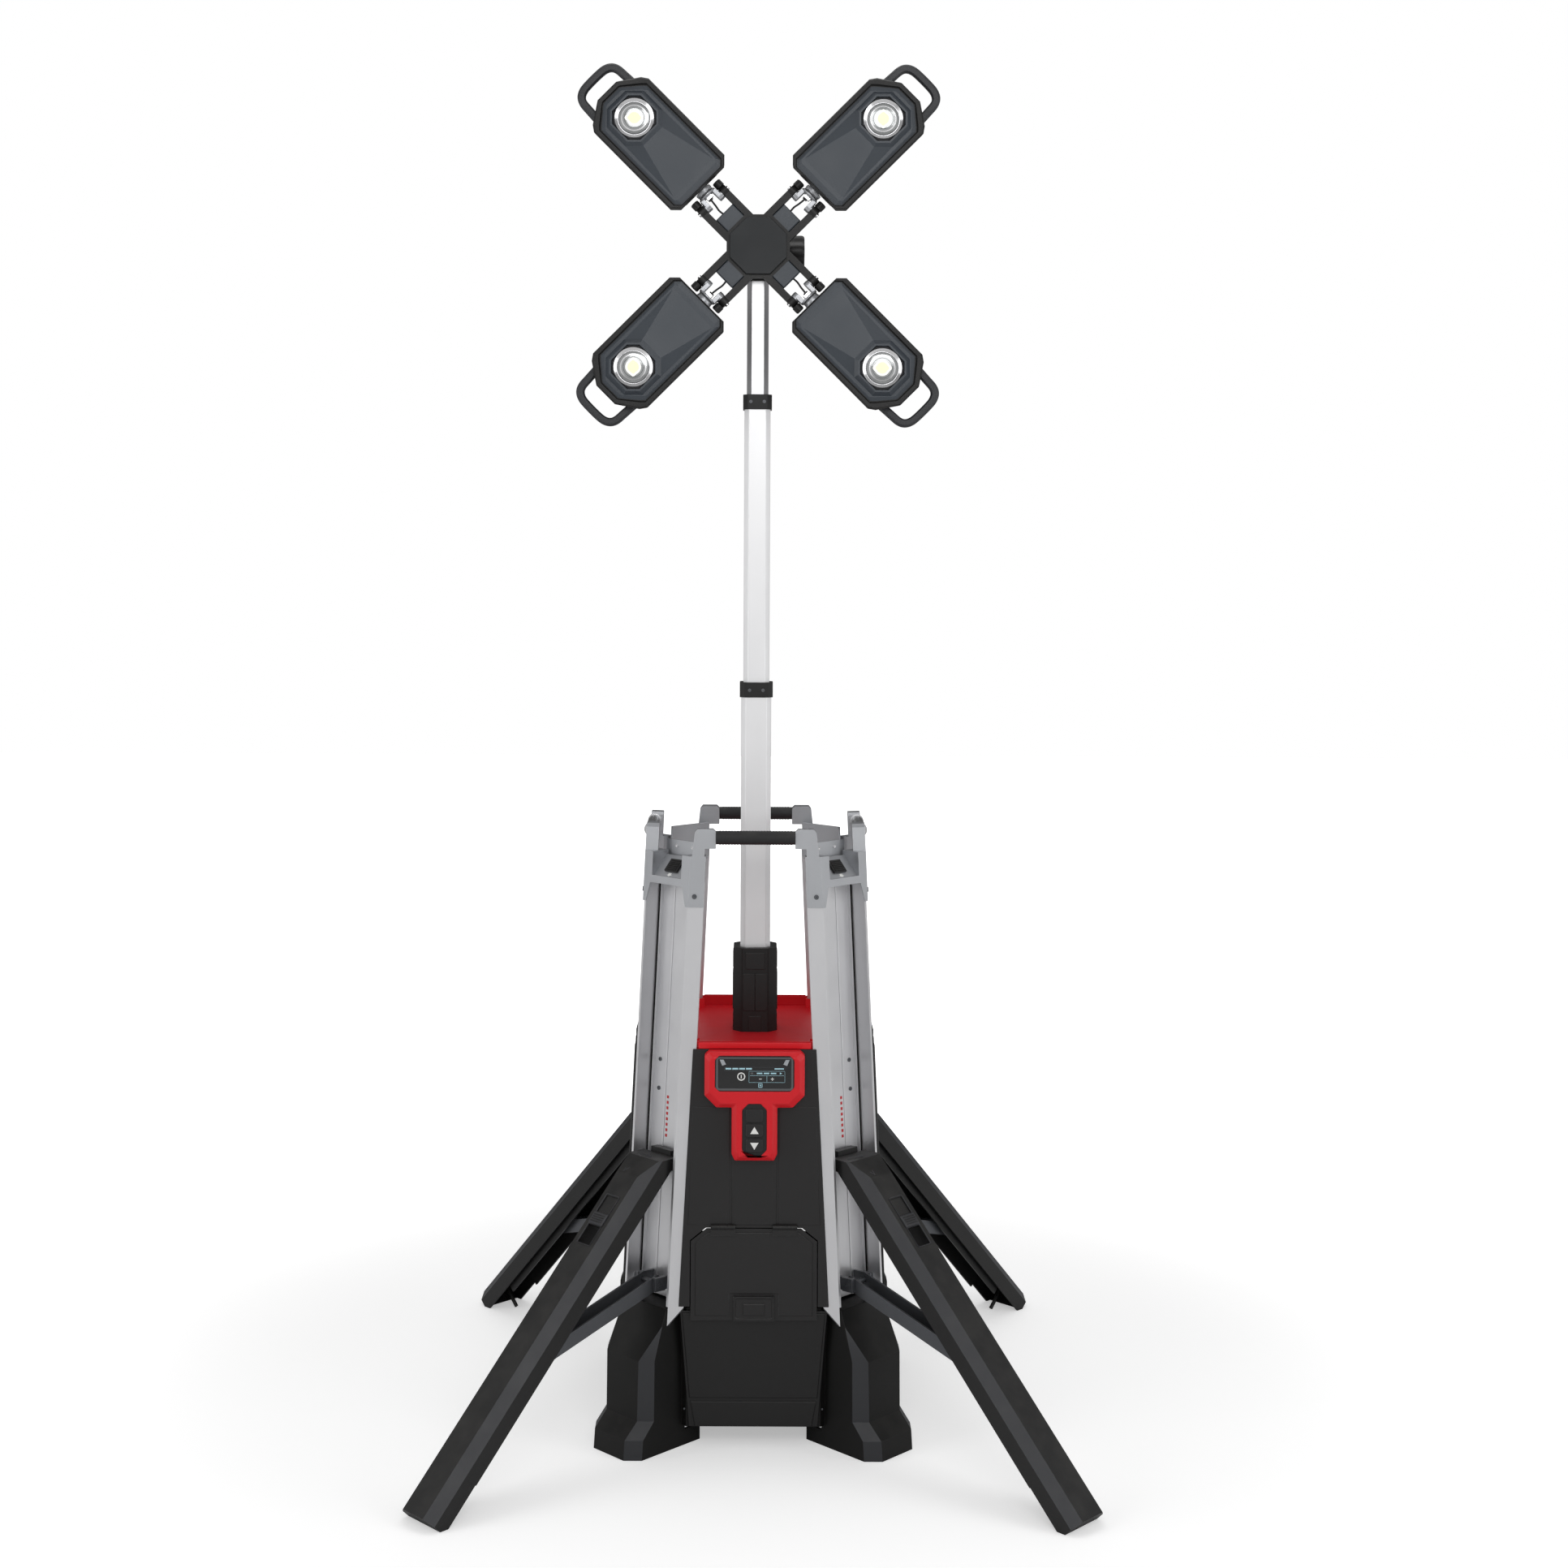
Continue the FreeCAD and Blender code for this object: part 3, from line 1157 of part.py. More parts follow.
def leg_brace(name, azimuth):
    """A grey channel from the post's bracket to the leg, forked at both ends."""
    brace = new_body("leg_brace_" + name)
    half, depth, wall = "brace_half", "brace_depth", "brace_wall"
    span = BRACE_LENGTH
    end = f"{span} + {depth}"
    side = [(f"-({depth})", f"-{depth} + 6"), (f"-{depth} + 6", f"-({depth})"), (f"{end} - 6", f"-({depth})"),
            (end, f"-{depth} + 6"), (end, f"{depth} - 6"), (f"{end} - 6", depth),
            (f"-{depth} + 6", depth), (f"-({depth})", f"{depth} - 6")]
    pad(brace, "xz", f"2 * {half}", [side], middle=True)
    past = "4 * brace_fork"
    trough = [(f"-{past}", f"-{depth} + {wall}"), (f"{end} + {past}", f"-{depth} + {wall}"),
              (f"{end} + {past}", f"{depth} + 10"), (f"-{past}", f"{depth} + 10")]
    pocket(brace, "xz", f"2 * ({half} - {wall})", outlines=[trough], middle=True)
    slots = [[(f"-{past}", "-2 * brace_fork"), ("brace_fork", "-2 * brace_fork"),
              ("brace_fork", "2 * brace_fork"), (f"-{past}", "2 * brace_fork")],
             [(f"{span} - brace_fork", "-2 * brace_fork"), (f"{end} + {past}", "-2 * brace_fork"),
              (f"{end} + {past}", "2 * brace_fork"), (f"{span} - brace_fork", "2 * brace_fork")]]
    pocket(brace, "xz", f"2 * ({half} - {wall})", outlines=slots, middle=True)
    holes = [(("0", "0"), "pin_radius + pin_gap"), ((str(span), "0"), "pin_radius + pin_gap")]
    pocket(brace, "xz", f"4 * {half}", rings=holes, middle=True)
    node(brace, "leg_brace_" + name, radial(azimuth, *FOOT_PIVOT, math.degrees(BRACE_SLOPE)))


def main():
    corner_posts()
    corner_castings()
    handles()
    body_panels()
    battery_door()
    battery_pack()
    control_console()
    top_tray()
    base_shell()
    wheels()
    mast()
    mast_head()
    hub()
    for name, azimuth in HEADS.items():
        light_head(name, azimuth)
    brackets = []
    for name, azimuth in CORNERS.items():
        brackets.append(leg_bracket(name, azimuth))
        leg_slider(name, azimuth)
        outrigger_leg(name, azimuth)
        leg_brace(name, azimuth)
    group = doc.addObject("Part::Compound", "leg_brackets")
    group.Links = brackets
    node(group, "leg_brackets")
    doc.recompute()
    for made in doc.Objects:
        if "Invalid" in made.State or "Error" in made.State:
            raise RuntimeError(f"{made.Name} failed: {made.State}")
    os.makedirs("parts", exist_ok=True)
    for piece in NODES:
        if piece.Shape.isNull() or not piece.Shape.isValid():
            raise RuntimeError(f"{piece.Label} has no valid shape")
    for piece in NODES:
        piece.Shape.exportStep(f"parts/{piece.Label}.step")
        count = len(piece.Shape.Solids)
        print(piece.Label, count, "solids", round(piece.Shape.Volume / 1000), "cm3")


main()
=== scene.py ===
# %% [markdown]
# This lesson dresses a battery light tower: a black body between four aluminium corner posts,
# four fold-out legs, a telescopic mast and a hub with four light heads. The solids come ready,
# at their real size, with the joints they move on. Everything here is about how they look:
# rounded edges, grain, small fittings and light.

# %% Load the frame
import json
import math

import bmesh
import bpy
from mathutils import Matrix, Vector


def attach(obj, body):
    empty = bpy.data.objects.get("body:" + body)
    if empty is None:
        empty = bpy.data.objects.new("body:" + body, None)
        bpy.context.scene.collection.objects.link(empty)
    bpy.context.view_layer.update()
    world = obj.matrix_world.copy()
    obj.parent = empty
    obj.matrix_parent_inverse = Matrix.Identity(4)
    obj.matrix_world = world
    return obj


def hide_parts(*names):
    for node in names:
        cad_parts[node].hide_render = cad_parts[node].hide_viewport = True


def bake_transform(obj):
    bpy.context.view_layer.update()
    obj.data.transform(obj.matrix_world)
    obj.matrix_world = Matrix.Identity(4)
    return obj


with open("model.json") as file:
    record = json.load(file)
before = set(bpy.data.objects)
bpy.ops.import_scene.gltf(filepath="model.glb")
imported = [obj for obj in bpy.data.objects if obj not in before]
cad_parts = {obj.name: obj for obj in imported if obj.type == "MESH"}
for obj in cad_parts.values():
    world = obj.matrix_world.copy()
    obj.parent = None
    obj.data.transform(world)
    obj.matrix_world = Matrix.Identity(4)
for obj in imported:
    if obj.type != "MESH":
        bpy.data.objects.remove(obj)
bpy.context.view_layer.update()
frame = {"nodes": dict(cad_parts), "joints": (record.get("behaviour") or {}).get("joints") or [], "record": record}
NODES = frame["nodes"]
JOINTS = {joint["name"]: joint for joint in frame["joints"]}
BODY_OF = {node: body for body, members in frame["record"]["behaviour"]["bodies"].items()
           for node in members}
CORNERS = {"front_right": -45, "front_left": -135, "rear_left": 135, "rear_right": 45}
HEADS = {"upper_right": 45, "upper_left": 135, "lower_left": 225, "lower_right": 315}

# %% [markdown]
# Drawing a fitting in its own small frame is far easier than in the world's. Five frames are
# enough here: on the body's leaning faces, on its upright walls, in the posts' channels, on the
# light heads and on the legs. All of them are in millimetres, and the matrix makes that metres.

# %% Frames to draw in
MILLIMETRE = Matrix.Scale(0.001, 4)
LEAN = math.radians(2.54)
FRAME_HALF, FRAME_LEVEL, DECK = 210, 994, 258
POST_FACE = 120
RADIAL_LEAN = math.atan(math.sqrt(2) * math.tan(LEAN))


def half_width(level):
    """From the mast's axis to the flange plane at a height, in millimetres."""
    return FRAME_HALF + (FRAME_LEVEL - level) * math.tan(LEAN)


def spun(degrees, axis="Z"):
    return Matrix.Rotation(math.radians(degrees), 4, axis)


def face_place(turn, level):
    """On a leaning face: X across, Y up the face, Z out of it. Turn 0 is the front."""
    tilt = Matrix.Rotation(math.pi / 2 - LEAN, 4, "X")
    return MILLIMETRE @ spun(turn) @ Matrix.Translation((0, -half_width(level), level)) @ tilt


def wall_place(turn, reach):
    """On an upright wall this far from the mast's axis, with its Y as the height."""
    return MILLIMETRE @ spun(turn) @ Matrix.Translation((0, -reach, 0)) @ spun(90, "X")


def post_place(azimuth, level):
    """On a post's corner face: X out, Y across, Z up along the post."""
    radius = math.sqrt(2) * half_width(level) - POST_FACE / 2
    tilt = Matrix.Rotation(-RADIAL_LEAN, 4, "Y")
    return MILLIMETRE @ spun(azimuth) @ Matrix.Translation((radius, 0, level)) @ tilt


def head_place(name):
    """On a light head: X out from the hub, Y across, Z to the front, from the fold axis."""
    pivot = Vector(JOINTS["head_fold_" + name]["pos_m"])
    return Matrix.Translation(pivot) @ (spun(-HEADS[name], "Y") @ spun(90, "X")) @ MILLIMETRE


LEG_SLOPE, BRACE_FROM = 45, 417


def leg_place(corner):
    """On a leg: X along it from its head pivot, Y across, Z out of its top face."""
    joint = Matrix.Translation(Vector(JOINTS["leg_fold_" + corner]["pos_m"]))
    tilted = spun(CORNERS[corner]) @ spun(LEG_SLOPE, "Y")
    return joint @ tilted @ MILLIMETRE @ Matrix.Translation((-BRACE_FROM, 0, 0))


print("front face half width at the deck", round(half_width(DECK)), "mm")

# %% [markdown]
# Moulded plastic, cast metal and extrusions never have the knife edges of a drawing. A small
# rounding on every edge catches the light, and is most of what makes a model look made. One
# helper keeps a finished mesh: it merges loose corners, rounds the edges and hands the piece
# to its body.

# %% Keep a finished piece
EDGE_ANGLE, CREASE = 28, 32
MERGED, FLAT = 2e-6, math.radians(0.5)


def linked(name, data):
    piece = bpy.data.objects.new(name, data)
    bpy.context.scene.collection.objects.link(piece)
    return piece


def applied(piece):
    """Turn the piece's modifiers into plain mesh."""
    graph = bpy.context.evaluated_depsgraph_get()
    mesh = bpy.data.meshes.new_from_object(piece.evaluated_get(graph))
    piece.modifiers.clear()
    piece.data = mesh


def smoothed(piece, crease=CREASE):
    piece.data.shade_smooth()
    piece.data.set_sharp_from_angle(angle=math.radians(crease))


def keep(bm, name, body, materials, bevel=0.0, steps=2, replaces=(), recalc=True, crease=CREASE):
    """Make a piece of a mesh that is already in metres; with no body it rides on nothing yet.

    crease is the angle in degrees from which an edge stays crisp."""
    bmesh.ops.remove_doubles(bm, verts=bm.verts, dist=MERGED)
    if recalc:
        bmesh.ops.recalc_face_normals(bm, faces=bm.faces)
    mesh = bpy.data.meshes.new(name)
    bm.to_mesh(mesh)
    bm.free()
    piece = linked(name, mesh)
    for material in materials if isinstance(materials, list) else [materials]:
        mesh.materials.append(material)
    if bevel:
        rounding = piece.modifiers.new("rounding", "BEVEL")
        rounding.width, rounding.segments = bevel / 1000, steps
        rounding.limit_method, rounding.angle_limit = "ANGLE", math.radians(EDGE_ANGLE)
        rounding.harden_normals = False
        applied(piece)
    smoothed(piece, crease)
    if bevel and crease > EDGE_ANGLE:
        evened = piece.modifiers.new("flat faces", "WEIGHTED_NORMAL")
        evened.keep_sharp = True
        applied(piece)
    if body:
        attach(piece, body)
    if replaces:
        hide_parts(*replaces)
    return piece


def dress(material, *nodes):
    """Give solids whose shape is right a better material."""
    for name in nodes:
        for held in NODES[name].material_slots:
            held.material = material


def softened(node, materials, bevel, steps=2, cuts=(), paint=None, joined=True):
    """A copy of a solid with rounded edges, which stands for it.

    cuts are closed meshes taken out of it, paint gives a face's material slot, and joined
    merges the triangles of a flat face, which a thin ring of faces doesn't stand."""
    bm = bmesh.new()
    bm.from_mesh(NODES[node].data)
    bmesh.ops.remove_doubles(bm, verts=bm.verts, dist=MERGED)
    if joined:
        bmesh.ops.dissolve_limit(bm, angle_limit=FLAT, verts=bm.verts, edges=bm.edges)
    if cuts:
        carve(bm, cuts)
    if paint:
        bm.normal_update()
        for face in bm.faces:
            face.material_index = paint(face)
    keep(bm, node + "_soft", BODY_OF[node], materials, bevel, steps,
         replaces=[node], recalc=False)


def carve(bm, cuts):
    """Take closed meshes out of a mesh."""
    whole = linked("whole", bpy.data.meshes.new("whole"))
    bm.to_mesh(whole.data)
    tools = []
    for cut in cuts:
        bmesh.ops.recalc_face_normals(cut, faces=cut.faces)
        tool = linked("tool", bpy.data.meshes.new("tool"))
        cut.to_mesh(tool.data)
        taking = whole.modifiers.new("take", "BOOLEAN")
        taking.object, taking.operation, taking.solver = tool, "DIFFERENCE", "EXACT"
        tools.append(tool)
    applied(whole)
    bm.clear()
    bm.from_mesh(whole.data)
    for spent in tools + [whole]:
        bpy.data.objects.remove(spent)
    bmesh.ops.dissolve_limit(bm, angle_limit=FLAT, verts=bm.verts, edges=bm.edges)


# %% [markdown]
# Most fittings are prisms or stacks of outlines. Two small builders draw both: `prism` lifts an
# outline between two heights, and `stack` skins a list of outlines that have the same number of
# corners. `place` says in which frame the outline is drawn.

# %% Small mesh builders
def skin(bm, rings, slot=0, caps=True):
    """Faces from each ring of corners to the next, and over both ends."""
    for low, high in zip(rings, rings[1:]):
        for i in range(len(low)):
            j = (i + 1) % len(low)
            bm.faces.new((low[i], low[j], high[j], high[i])).material_index = slot
    if caps:
        bm.faces.new(rings[0][::-1]).material_index = slot
        bm.faces.new(rings[-1]).material_index = slot


def stack(bm, place, sections, caps=True, slot=0):
    """Skin outlines: each section is a height and its list of (x, y) corners."""
    skin(bm, [[bm.verts.new(place @ Vector((x, y, height))) for x, y in corners]
              for height, corners in sections], slot, caps)


def prism(bm, place, corners, low, high, slot=0):
    stack(bm, place, [(low, corners), (high, corners)], slot=slot)


def block(bm, place, centre, lengths, slot=0):
    """A box about a point."""
    (x, y, z), (u, v, w) = centre, [length / 2 for length in lengths]
    prism(bm, place, [(x - u, y - v), (x + u, y - v), (x + u, y + v), (x - u, y + v)], z - w, z + w, slot)


def polar(centre, radius, turn):
    return centre[0] + radius * math.cos(turn), centre[1] + radius * math.sin(turn)


def round_outline(centre, radius, count=24, start=0.0):
    return [polar(centre, radius, start + 2 * math.pi * i / count) for i in range(count)]


def octagon(centre, half, corner):
    """A square of this half width with its corners cut."""
    short = half - corner
    one = [(short, -half), (half, -short), (half, short), (short, half), (-short, half), (-half, short),
           (-half, -short), (-short, -half)]
    return [(centre[0] + x, centre[1] + y) for x, y in one]


def rounded_box(centre, width, height, radius, steps=3):
    """A rectangle with round corners."""
    corners = []
    for i, (sx, sy) in enumerate(((1, 1), (-1, 1), (-1, -1), (1, -1))):
        middle = centre[0] + sx * (width / 2 - radius), centre[1] + sy * (height / 2 - radius)
        corners += [polar(middle, radius, math.pi / 2 * (i + step / steps)) for step in range(steps + 1)]
    return corners


def turned(place, axis):
    """A frame whose Z runs along X or Y of another frame."""
    return place @ (spun(90, "Y") if axis == "x" else spun(-90, "X"))


# %% [markdown]
# Three effects are shared by nearly every finish, so each is a shader group that is built once.
# Grain is the fine sparkle of moulded or cast surfaces. Edge wear and highlight finds edges by
# comparing the surface's own normal with a widely rounded one, and breaks the mask up with noise;
# the lighter edges it gives are partly wear and partly a painted highlight. Dust settles on what
# faces up.

# %% Shader groups
def shader_group(name, inputs, outputs):
    group = bpy.data.node_groups.new(name, "ShaderNodeTree")
    for label, value in inputs.items():
        socket = group.interface.new_socket(label, in_out="INPUT", socket_type="NodeSocketFloat")
        socket.default_value = value
    for label in outputs:
        group.interface.new_socket(label, in_out="OUTPUT", socket_type="NodeSocketFloat")
    return group, group.nodes.new("NodeGroupInput"), group.nodes.new("NodeGroupOutput")


def add(tree, kind, values=(), **settings):
    """A node with its settings and its input values, given by socket name or number."""
    node = tree.nodes.new(kind)
    for key, value in settings.items():
        setattr(node, key, value)
    for key, value in dict(values).items():
        node.inputs[key].default_value = value
    return node


def wire(tree, *links):
    """Join nodes; each link is a node, its output, another node and its input."""
    for source, output, target, socket in links:
        tree.links.new(source.outputs[output], target.inputs[socket])


def noise_at(tree, scale_socket, detail=4.0, stretch=(1, 1, 1)):
    """Noise on the object's own coordinates."""
    coords = add(tree, "ShaderNodeTexCoord")
    mapping = add(tree, "ShaderNodeMapping", {"Scale": stretch})
    noise = add(tree, "ShaderNodeTexNoise", {"Detail": detail})
    wire(tree, (coords, "Object", mapping, "Vector"), (mapping, "Vector", noise, "Vector"))
    tree.links.new(scale_socket, noise.inputs["Scale"])
    return noise


def grain_group():
    group, given, made = shader_group("grain", {"Scale": 900.0, "Patch Scale": 14.0}, ["Height", "Patches"])
    fine = noise_at(group, given.outputs["Scale"], 3)
    broad = noise_at(group, given.outputs["Patch Scale"], 4)
    wire(group, (fine, "Fac", made, "Height"), (broad, "Fac", made, "Patches"))
    return group


def wear_and_highlight_group():
    group, given, made = shader_group("edge wear and highlight", {"Radius": 0.0012, "Breakup": 90.0}, ["Mask"])
    rounded = add(group, "ShaderNodeBevel", samples=4)
    surface = add(group, "ShaderNodeNewGeometry")
    dot = add(group, "ShaderNodeVectorMath", operation="DOT_PRODUCT")
    spread = add(group, "ShaderNodeMapRange", {"From Min": 0.995, "From Max": 0.80})
    noise = noise_at(group, given.outputs["Breakup"], 5)
    cut = add(group, "ShaderNodeMapRange", {"From Min": 0.42, "From Max": 0.62})
    both = add(group, "ShaderNodeMath", operation="MULTIPLY")
    wire(group, (given, "Radius", rounded, "Radius"), (rounded, "Normal", dot, 0),
         (surface, "Normal", dot, 1), (dot, "Value", spread, "Value"), (noise, "Fac", cut, "Value"),
         (spread, "Result", both, 0), (cut, "Result", both, 1), (both, "Value", made, "Mask"))
    return group


def dust_group():
    group, given, made = shader_group("dust", {"Amount": 0.3, "Scale": 26.0}, ["Mask"])
    surface = add(group, "ShaderNodeNewGeometry")
    split = add(group, "ShaderNodeSeparateXYZ")
    upward = add(group, "ShaderNodeMapRange", {"From Min": 0.2, "From Max": 0.95})
    noise = noise_at(group, given.outputs["Scale"], 6)
    cut = add(group, "ShaderNodeMapRange", {"From Min": 0.35, "From Max": 0.75})
    first = add(group, "ShaderNodeMath", operation="MULTIPLY")
    second = add(group, "ShaderNodeMath", operation="MULTIPLY")
    wire(group, (surface, "Normal", split, "Vector"), (split, "Z", upward, "Value"),
         (noise, "Fac", cut, "Value"), (upward, "Result", first, 0), (cut, "Result", first, 1),
         (first, "Value", second, 0), (given, "Amount", second, 1), (second, "Value", made, "Mask"))
    return group


GRAIN, WEAR_AND_HIGHLIGHT, DUST = grain_group(), wear_and_highlight_group(), dust_group()
print("shader groups:", GRAIN.name, WEAR_AND_HIGHLIGHT.name, DUST.name)

# %% [markdown]
# One recipe then makes every opaque finish: a base colour that varies a little in broad patches,
# a lighter colour on the edges, which is partly rubbed wear and partly a painted highlight, a film of
# dust, and grain that drives both the roughness and a bump. Each finish only changes the numbers.

# %% The finish recipe
def placed_group(tree, group, values):
    node = add(tree, "ShaderNodeGroup", node_tree=group)
    for key, value in values.items():
        node.inputs[key].default_value = value
    return node


def tone(tree, first, second, mask, amount=1.0):
    """Mix two colours by a mask; each colour is a value or a socket."""
    mix = add(tree, "ShaderNodeMix", data_type="RGBA")
    strength = add(tree, "ShaderNodeMath", {1: amount}, operation="MULTIPLY")
    tree.links.new(mask, strength.inputs[0])
    tree.links.new(strength.outputs["Value"], mix.inputs[0])
    for socket, colour in ((mix.inputs[6], first), (mix.inputs[7], second)):
        if isinstance(colour, tuple):
            socket.default_value = (*colour, 1)
        else:
            tree.links.new(colour, socket)
    return mix.outputs[2]


DUST_COLOUR = (0.34, 0.32, 0.29)
BRUSHED = (14, 14, 0.25)


def new_material(name, grain, shade, values):
    """A material, its tree and shader, and noise that varies its colour between two shades."""
    material = bpy.data.materials.new(name)
    material.use_nodes = True
    tree = material.node_tree
    shader = tree.nodes["Principled BSDF"]
    for label, value in values.items():
        shader.inputs[label].default_value = value
    noise = placed_group(tree, GRAIN, grain)
    return material, tree, shader, noise, tone(tree, *shade, noise.outputs["Patches"])


def darker(colour, share):
    return tuple(channel * share for channel in colour)


def finish(name, colour, rough, metal=0.0, grain=900.0, bump=0.12, wear_and_highlight_colour=None, wear_and_highlight_share=0.6,
           dust=0.25, patch=0.85, coat=0.0, specular=0.5, brushed=None):
    """An opaque finish. brushed stretches the grain, as (x, y, z)."""
    material, tree, shader, noise, shade = new_material(
        name, {"Scale": grain}, (darker(colour, patch), colour),
        {"Coat Weight": coat, "Specular IOR Level": specular, "Metallic": metal})
    # The lighter edges are partly wear and partly a painted highlight.
    if wear_and_highlight_colour:
        worn_and_lit_edges = placed_group(tree, WEAR_AND_HIGHLIGHT, {})
        shade = tone(tree, shade, wear_and_highlight_colour, worn_and_lit_edges.outputs["Mask"], wear_and_highlight_share)
    if dust:
        settled = placed_group(tree, DUST, {"Amount": dust})
        shade = tone(tree, shade, DUST_COLOUR, settled.outputs["Mask"], 0.5)
    tree.links.new(shade, shader.inputs["Base Color"])
    spread = add(tree, "ShaderNodeMapRange", {"To Min": rough - 0.07, "To Max": rough + 0.09})
    wire(tree, (noise, "Patches", spread, "Value"), (spread, "Result", shader, "Roughness"))
    height = noise.outputs["Height"]
    if brushed:
        scale = add(tree, "ShaderNodeValue")
        scale.outputs[0].default_value = grain
        height = noise_at(tree, scale.outputs[0], 2, brushed).outputs["Fac"]
    raised = add(tree, "ShaderNodeBump", {"Strength": bump, "Distance": 0.0004})
    tree.links.new(height, raised.inputs["Height"])
    tree.links.new(raised.outputs["Normal"], shader.inputs["Normal"])
    return material


# %% [markdown]
# The finishes follow the real machine: deep black textured mouldings, slate grey faces on the
# lamps and leg edges, one strong red, satin anodised extrusions, slightly duller castings and
# bright turned fittings.

# %% The finishes
BLACK = finish("moulded black", (0.0085, 0.0082, 0.0082), 0.46, grain=1100, bump=0.22,
               wear_and_highlight_colour=(0.05, 0.05, 0.053), dust=0.12, specular=0.38)
# Its lighter edge colour is a painted highlight: the thin light lines along the panels' and door's edges.
PANEL = finish("panel black", (0.0115, 0.0108, 0.0110), 0.42, grain=1300, bump=0.14,
               wear_and_highlight_colour=(0.085, 0.085, 0.09), dust=0.12, specular=0.40)
SLATE = finish("slate grey", (0.041, 0.050, 0.062), 0.42, grain=1200, bump=0.14,
               wear_and_highlight_colour=(0.11, 0.12, 0.14), dust=0.08)
# A darker slate for the bail and the legs' chamfers, also used as painted light: highlights on the leg latches'
# edges and the lit faces of the base's feet.
SLATE_AND_PAINTED_LIGHT = finish("slate and painted light", (0.021, 0.022, 0.026), 0.46, grain=1000, bump=0.2,
               wear_and_highlight_colour=(0.09, 0.09, 0.10), dust=0.12)
RED = finish("console red", (0.66, 0.008, 0.016), 0.38, grain=700, bump=0.05, wear_and_highlight_colour=(0.8, 0.10, 0.09),
             wear_and_highlight_share=0.4, dust=0.0, patch=0.95, specular=0.35)
EXTRUDED = finish("anodised extrusion", (0.69, 0.69, 0.705), 0.34, metal=0.9, grain=60, bump=0.05,
                  wear_and_highlight_colour=(0.78, 0.78, 0.79), dust=0.1, patch=0.95, brushed=BRUSHED)
CAST = finish("cast aluminium", (0.45, 0.46, 0.48), 0.40, metal=0.85, grain=1500, bump=0.16,
              wear_and_highlight_colour=(0.75, 0.75, 0.77), dust=0.15, patch=0.93)
# A darker metal that paints shade on the mast's slanted corner faces.
SHADED_CHAMFER = finish("painted chamfer shade", (0.42, 0.42, 0.43), 0.36, metal=0.9, grain=60, bump=0.05, dust=0.0,
               brushed=BRUSHED)
BRIGHT = finish("bright fittings", (0.74, 0.74, 0.75), 0.2, metal=1.0, grain=400, bump=0.03,
                dust=0.0, patch=0.95)
STEEL = finish("dark steel", (0.11, 0.115, 0.125), 0.38, metal=0.6, grain=700, bump=0.08,
               wear_and_highlight_colour=(0.3, 0.3, 0.31))
RUBBER = finish("grip rubber", (0.013, 0.013, 0.014), 0.62, grain=1600, bump=0.2, dust=0.2)
TREAD = finish("tyre rubber", (0.018, 0.017, 0.017), 0.75, grain=900, bump=0.3, dust=0.5)
GLOSS = finish("display gloss", (0.006, 0.006, 0.007), 0.12, grain=300, bump=0.0, dust=0.1, coat=0.5)
MARK_RED = finish("red marks", (0.50, 0.01, 0.015), 0.5, grain=600, bump=0.05, dust=0.0)
print(len(bpy.data.materials), "materials")

# %% [markdown]
# Marks and lights need their own simple materials: white and pale cyan print, and the warm
# light of the diodes. A light source has to stay a little below white on the outside, or it
# turns into a flat white hole in the picture.

# %% Print and light
def plain(name, colour, rough=0.4, glow=0.0, metal=0.0):
    material, tree, shader, _, shade = new_material(
        name, {"Scale": 500.0, "Patch Scale": 60.0}, (darker(colour, 0.94), colour),
        {"Roughness": rough, "Metallic": metal})
    tree.links.new(shade, shader.inputs["Base Color"])
    if glow:
        tree.links.new(shade, shader.inputs["Emission Color"])
        shader.inputs["Emission Strength"].default_value = glow
    return material


WHITE_PRINT = plain("white print", (0.80, 0.80, 0.78))
GREY_PRINT = plain("grey print", (0.36, 0.38, 0.40))
CYAN_PRINT = plain("cyan print", (0.34, 0.55, 0.62), glow=0.15)
DIODE = plain("diode", (0.9, 0.84, 0.56), glow=0.42)
GLARE = plain("glare", (0.9, 0.9, 0.86), glow=0.34)
REFLECTOR = plain("reflector", (0.72, 0.72, 0.73), 0.2, metal=1.0)
OPTIC = plain("optic shade", (0.10, 0.10, 0.105), 0.2, metal=0.4)
DOME = plain("clear dome", (0.36, 0.37, 0.37), 0.12, metal=0.5)

# %% [markdown]
# A light head is a black moulded case with a broad rim, and a slate face let into it. The
# lens stands on a raised octagon, and a long flat wedge climbs to it from the hub end. Only one
# head is drawn, about its own fold axis, and it is then placed four times.

# %% The head's case
HEAD_START, HEAD_END = 30, 289
HEAD_HALF, HEAD_FRONT, HEAD_BACK = 73.5, 45, -20
RIM = 11.5
LENS_X = HEAD_END - 75


def case_outline(half, start, end, corner, inset=0.0):
    """The head's outline: square with small cuts at the hub, rounded like a nose outside."""
    nose, bulge = half * 0.34, half * 0.885
    one = [(start, half - corner), (start + corner, half), (end - 39 + inset * 0.4, half),
           (end - 27, bulge), (end - 2.5, nose + 4), (end, nose)]
    return one + [(x, -y) for x, y in reversed(one)]


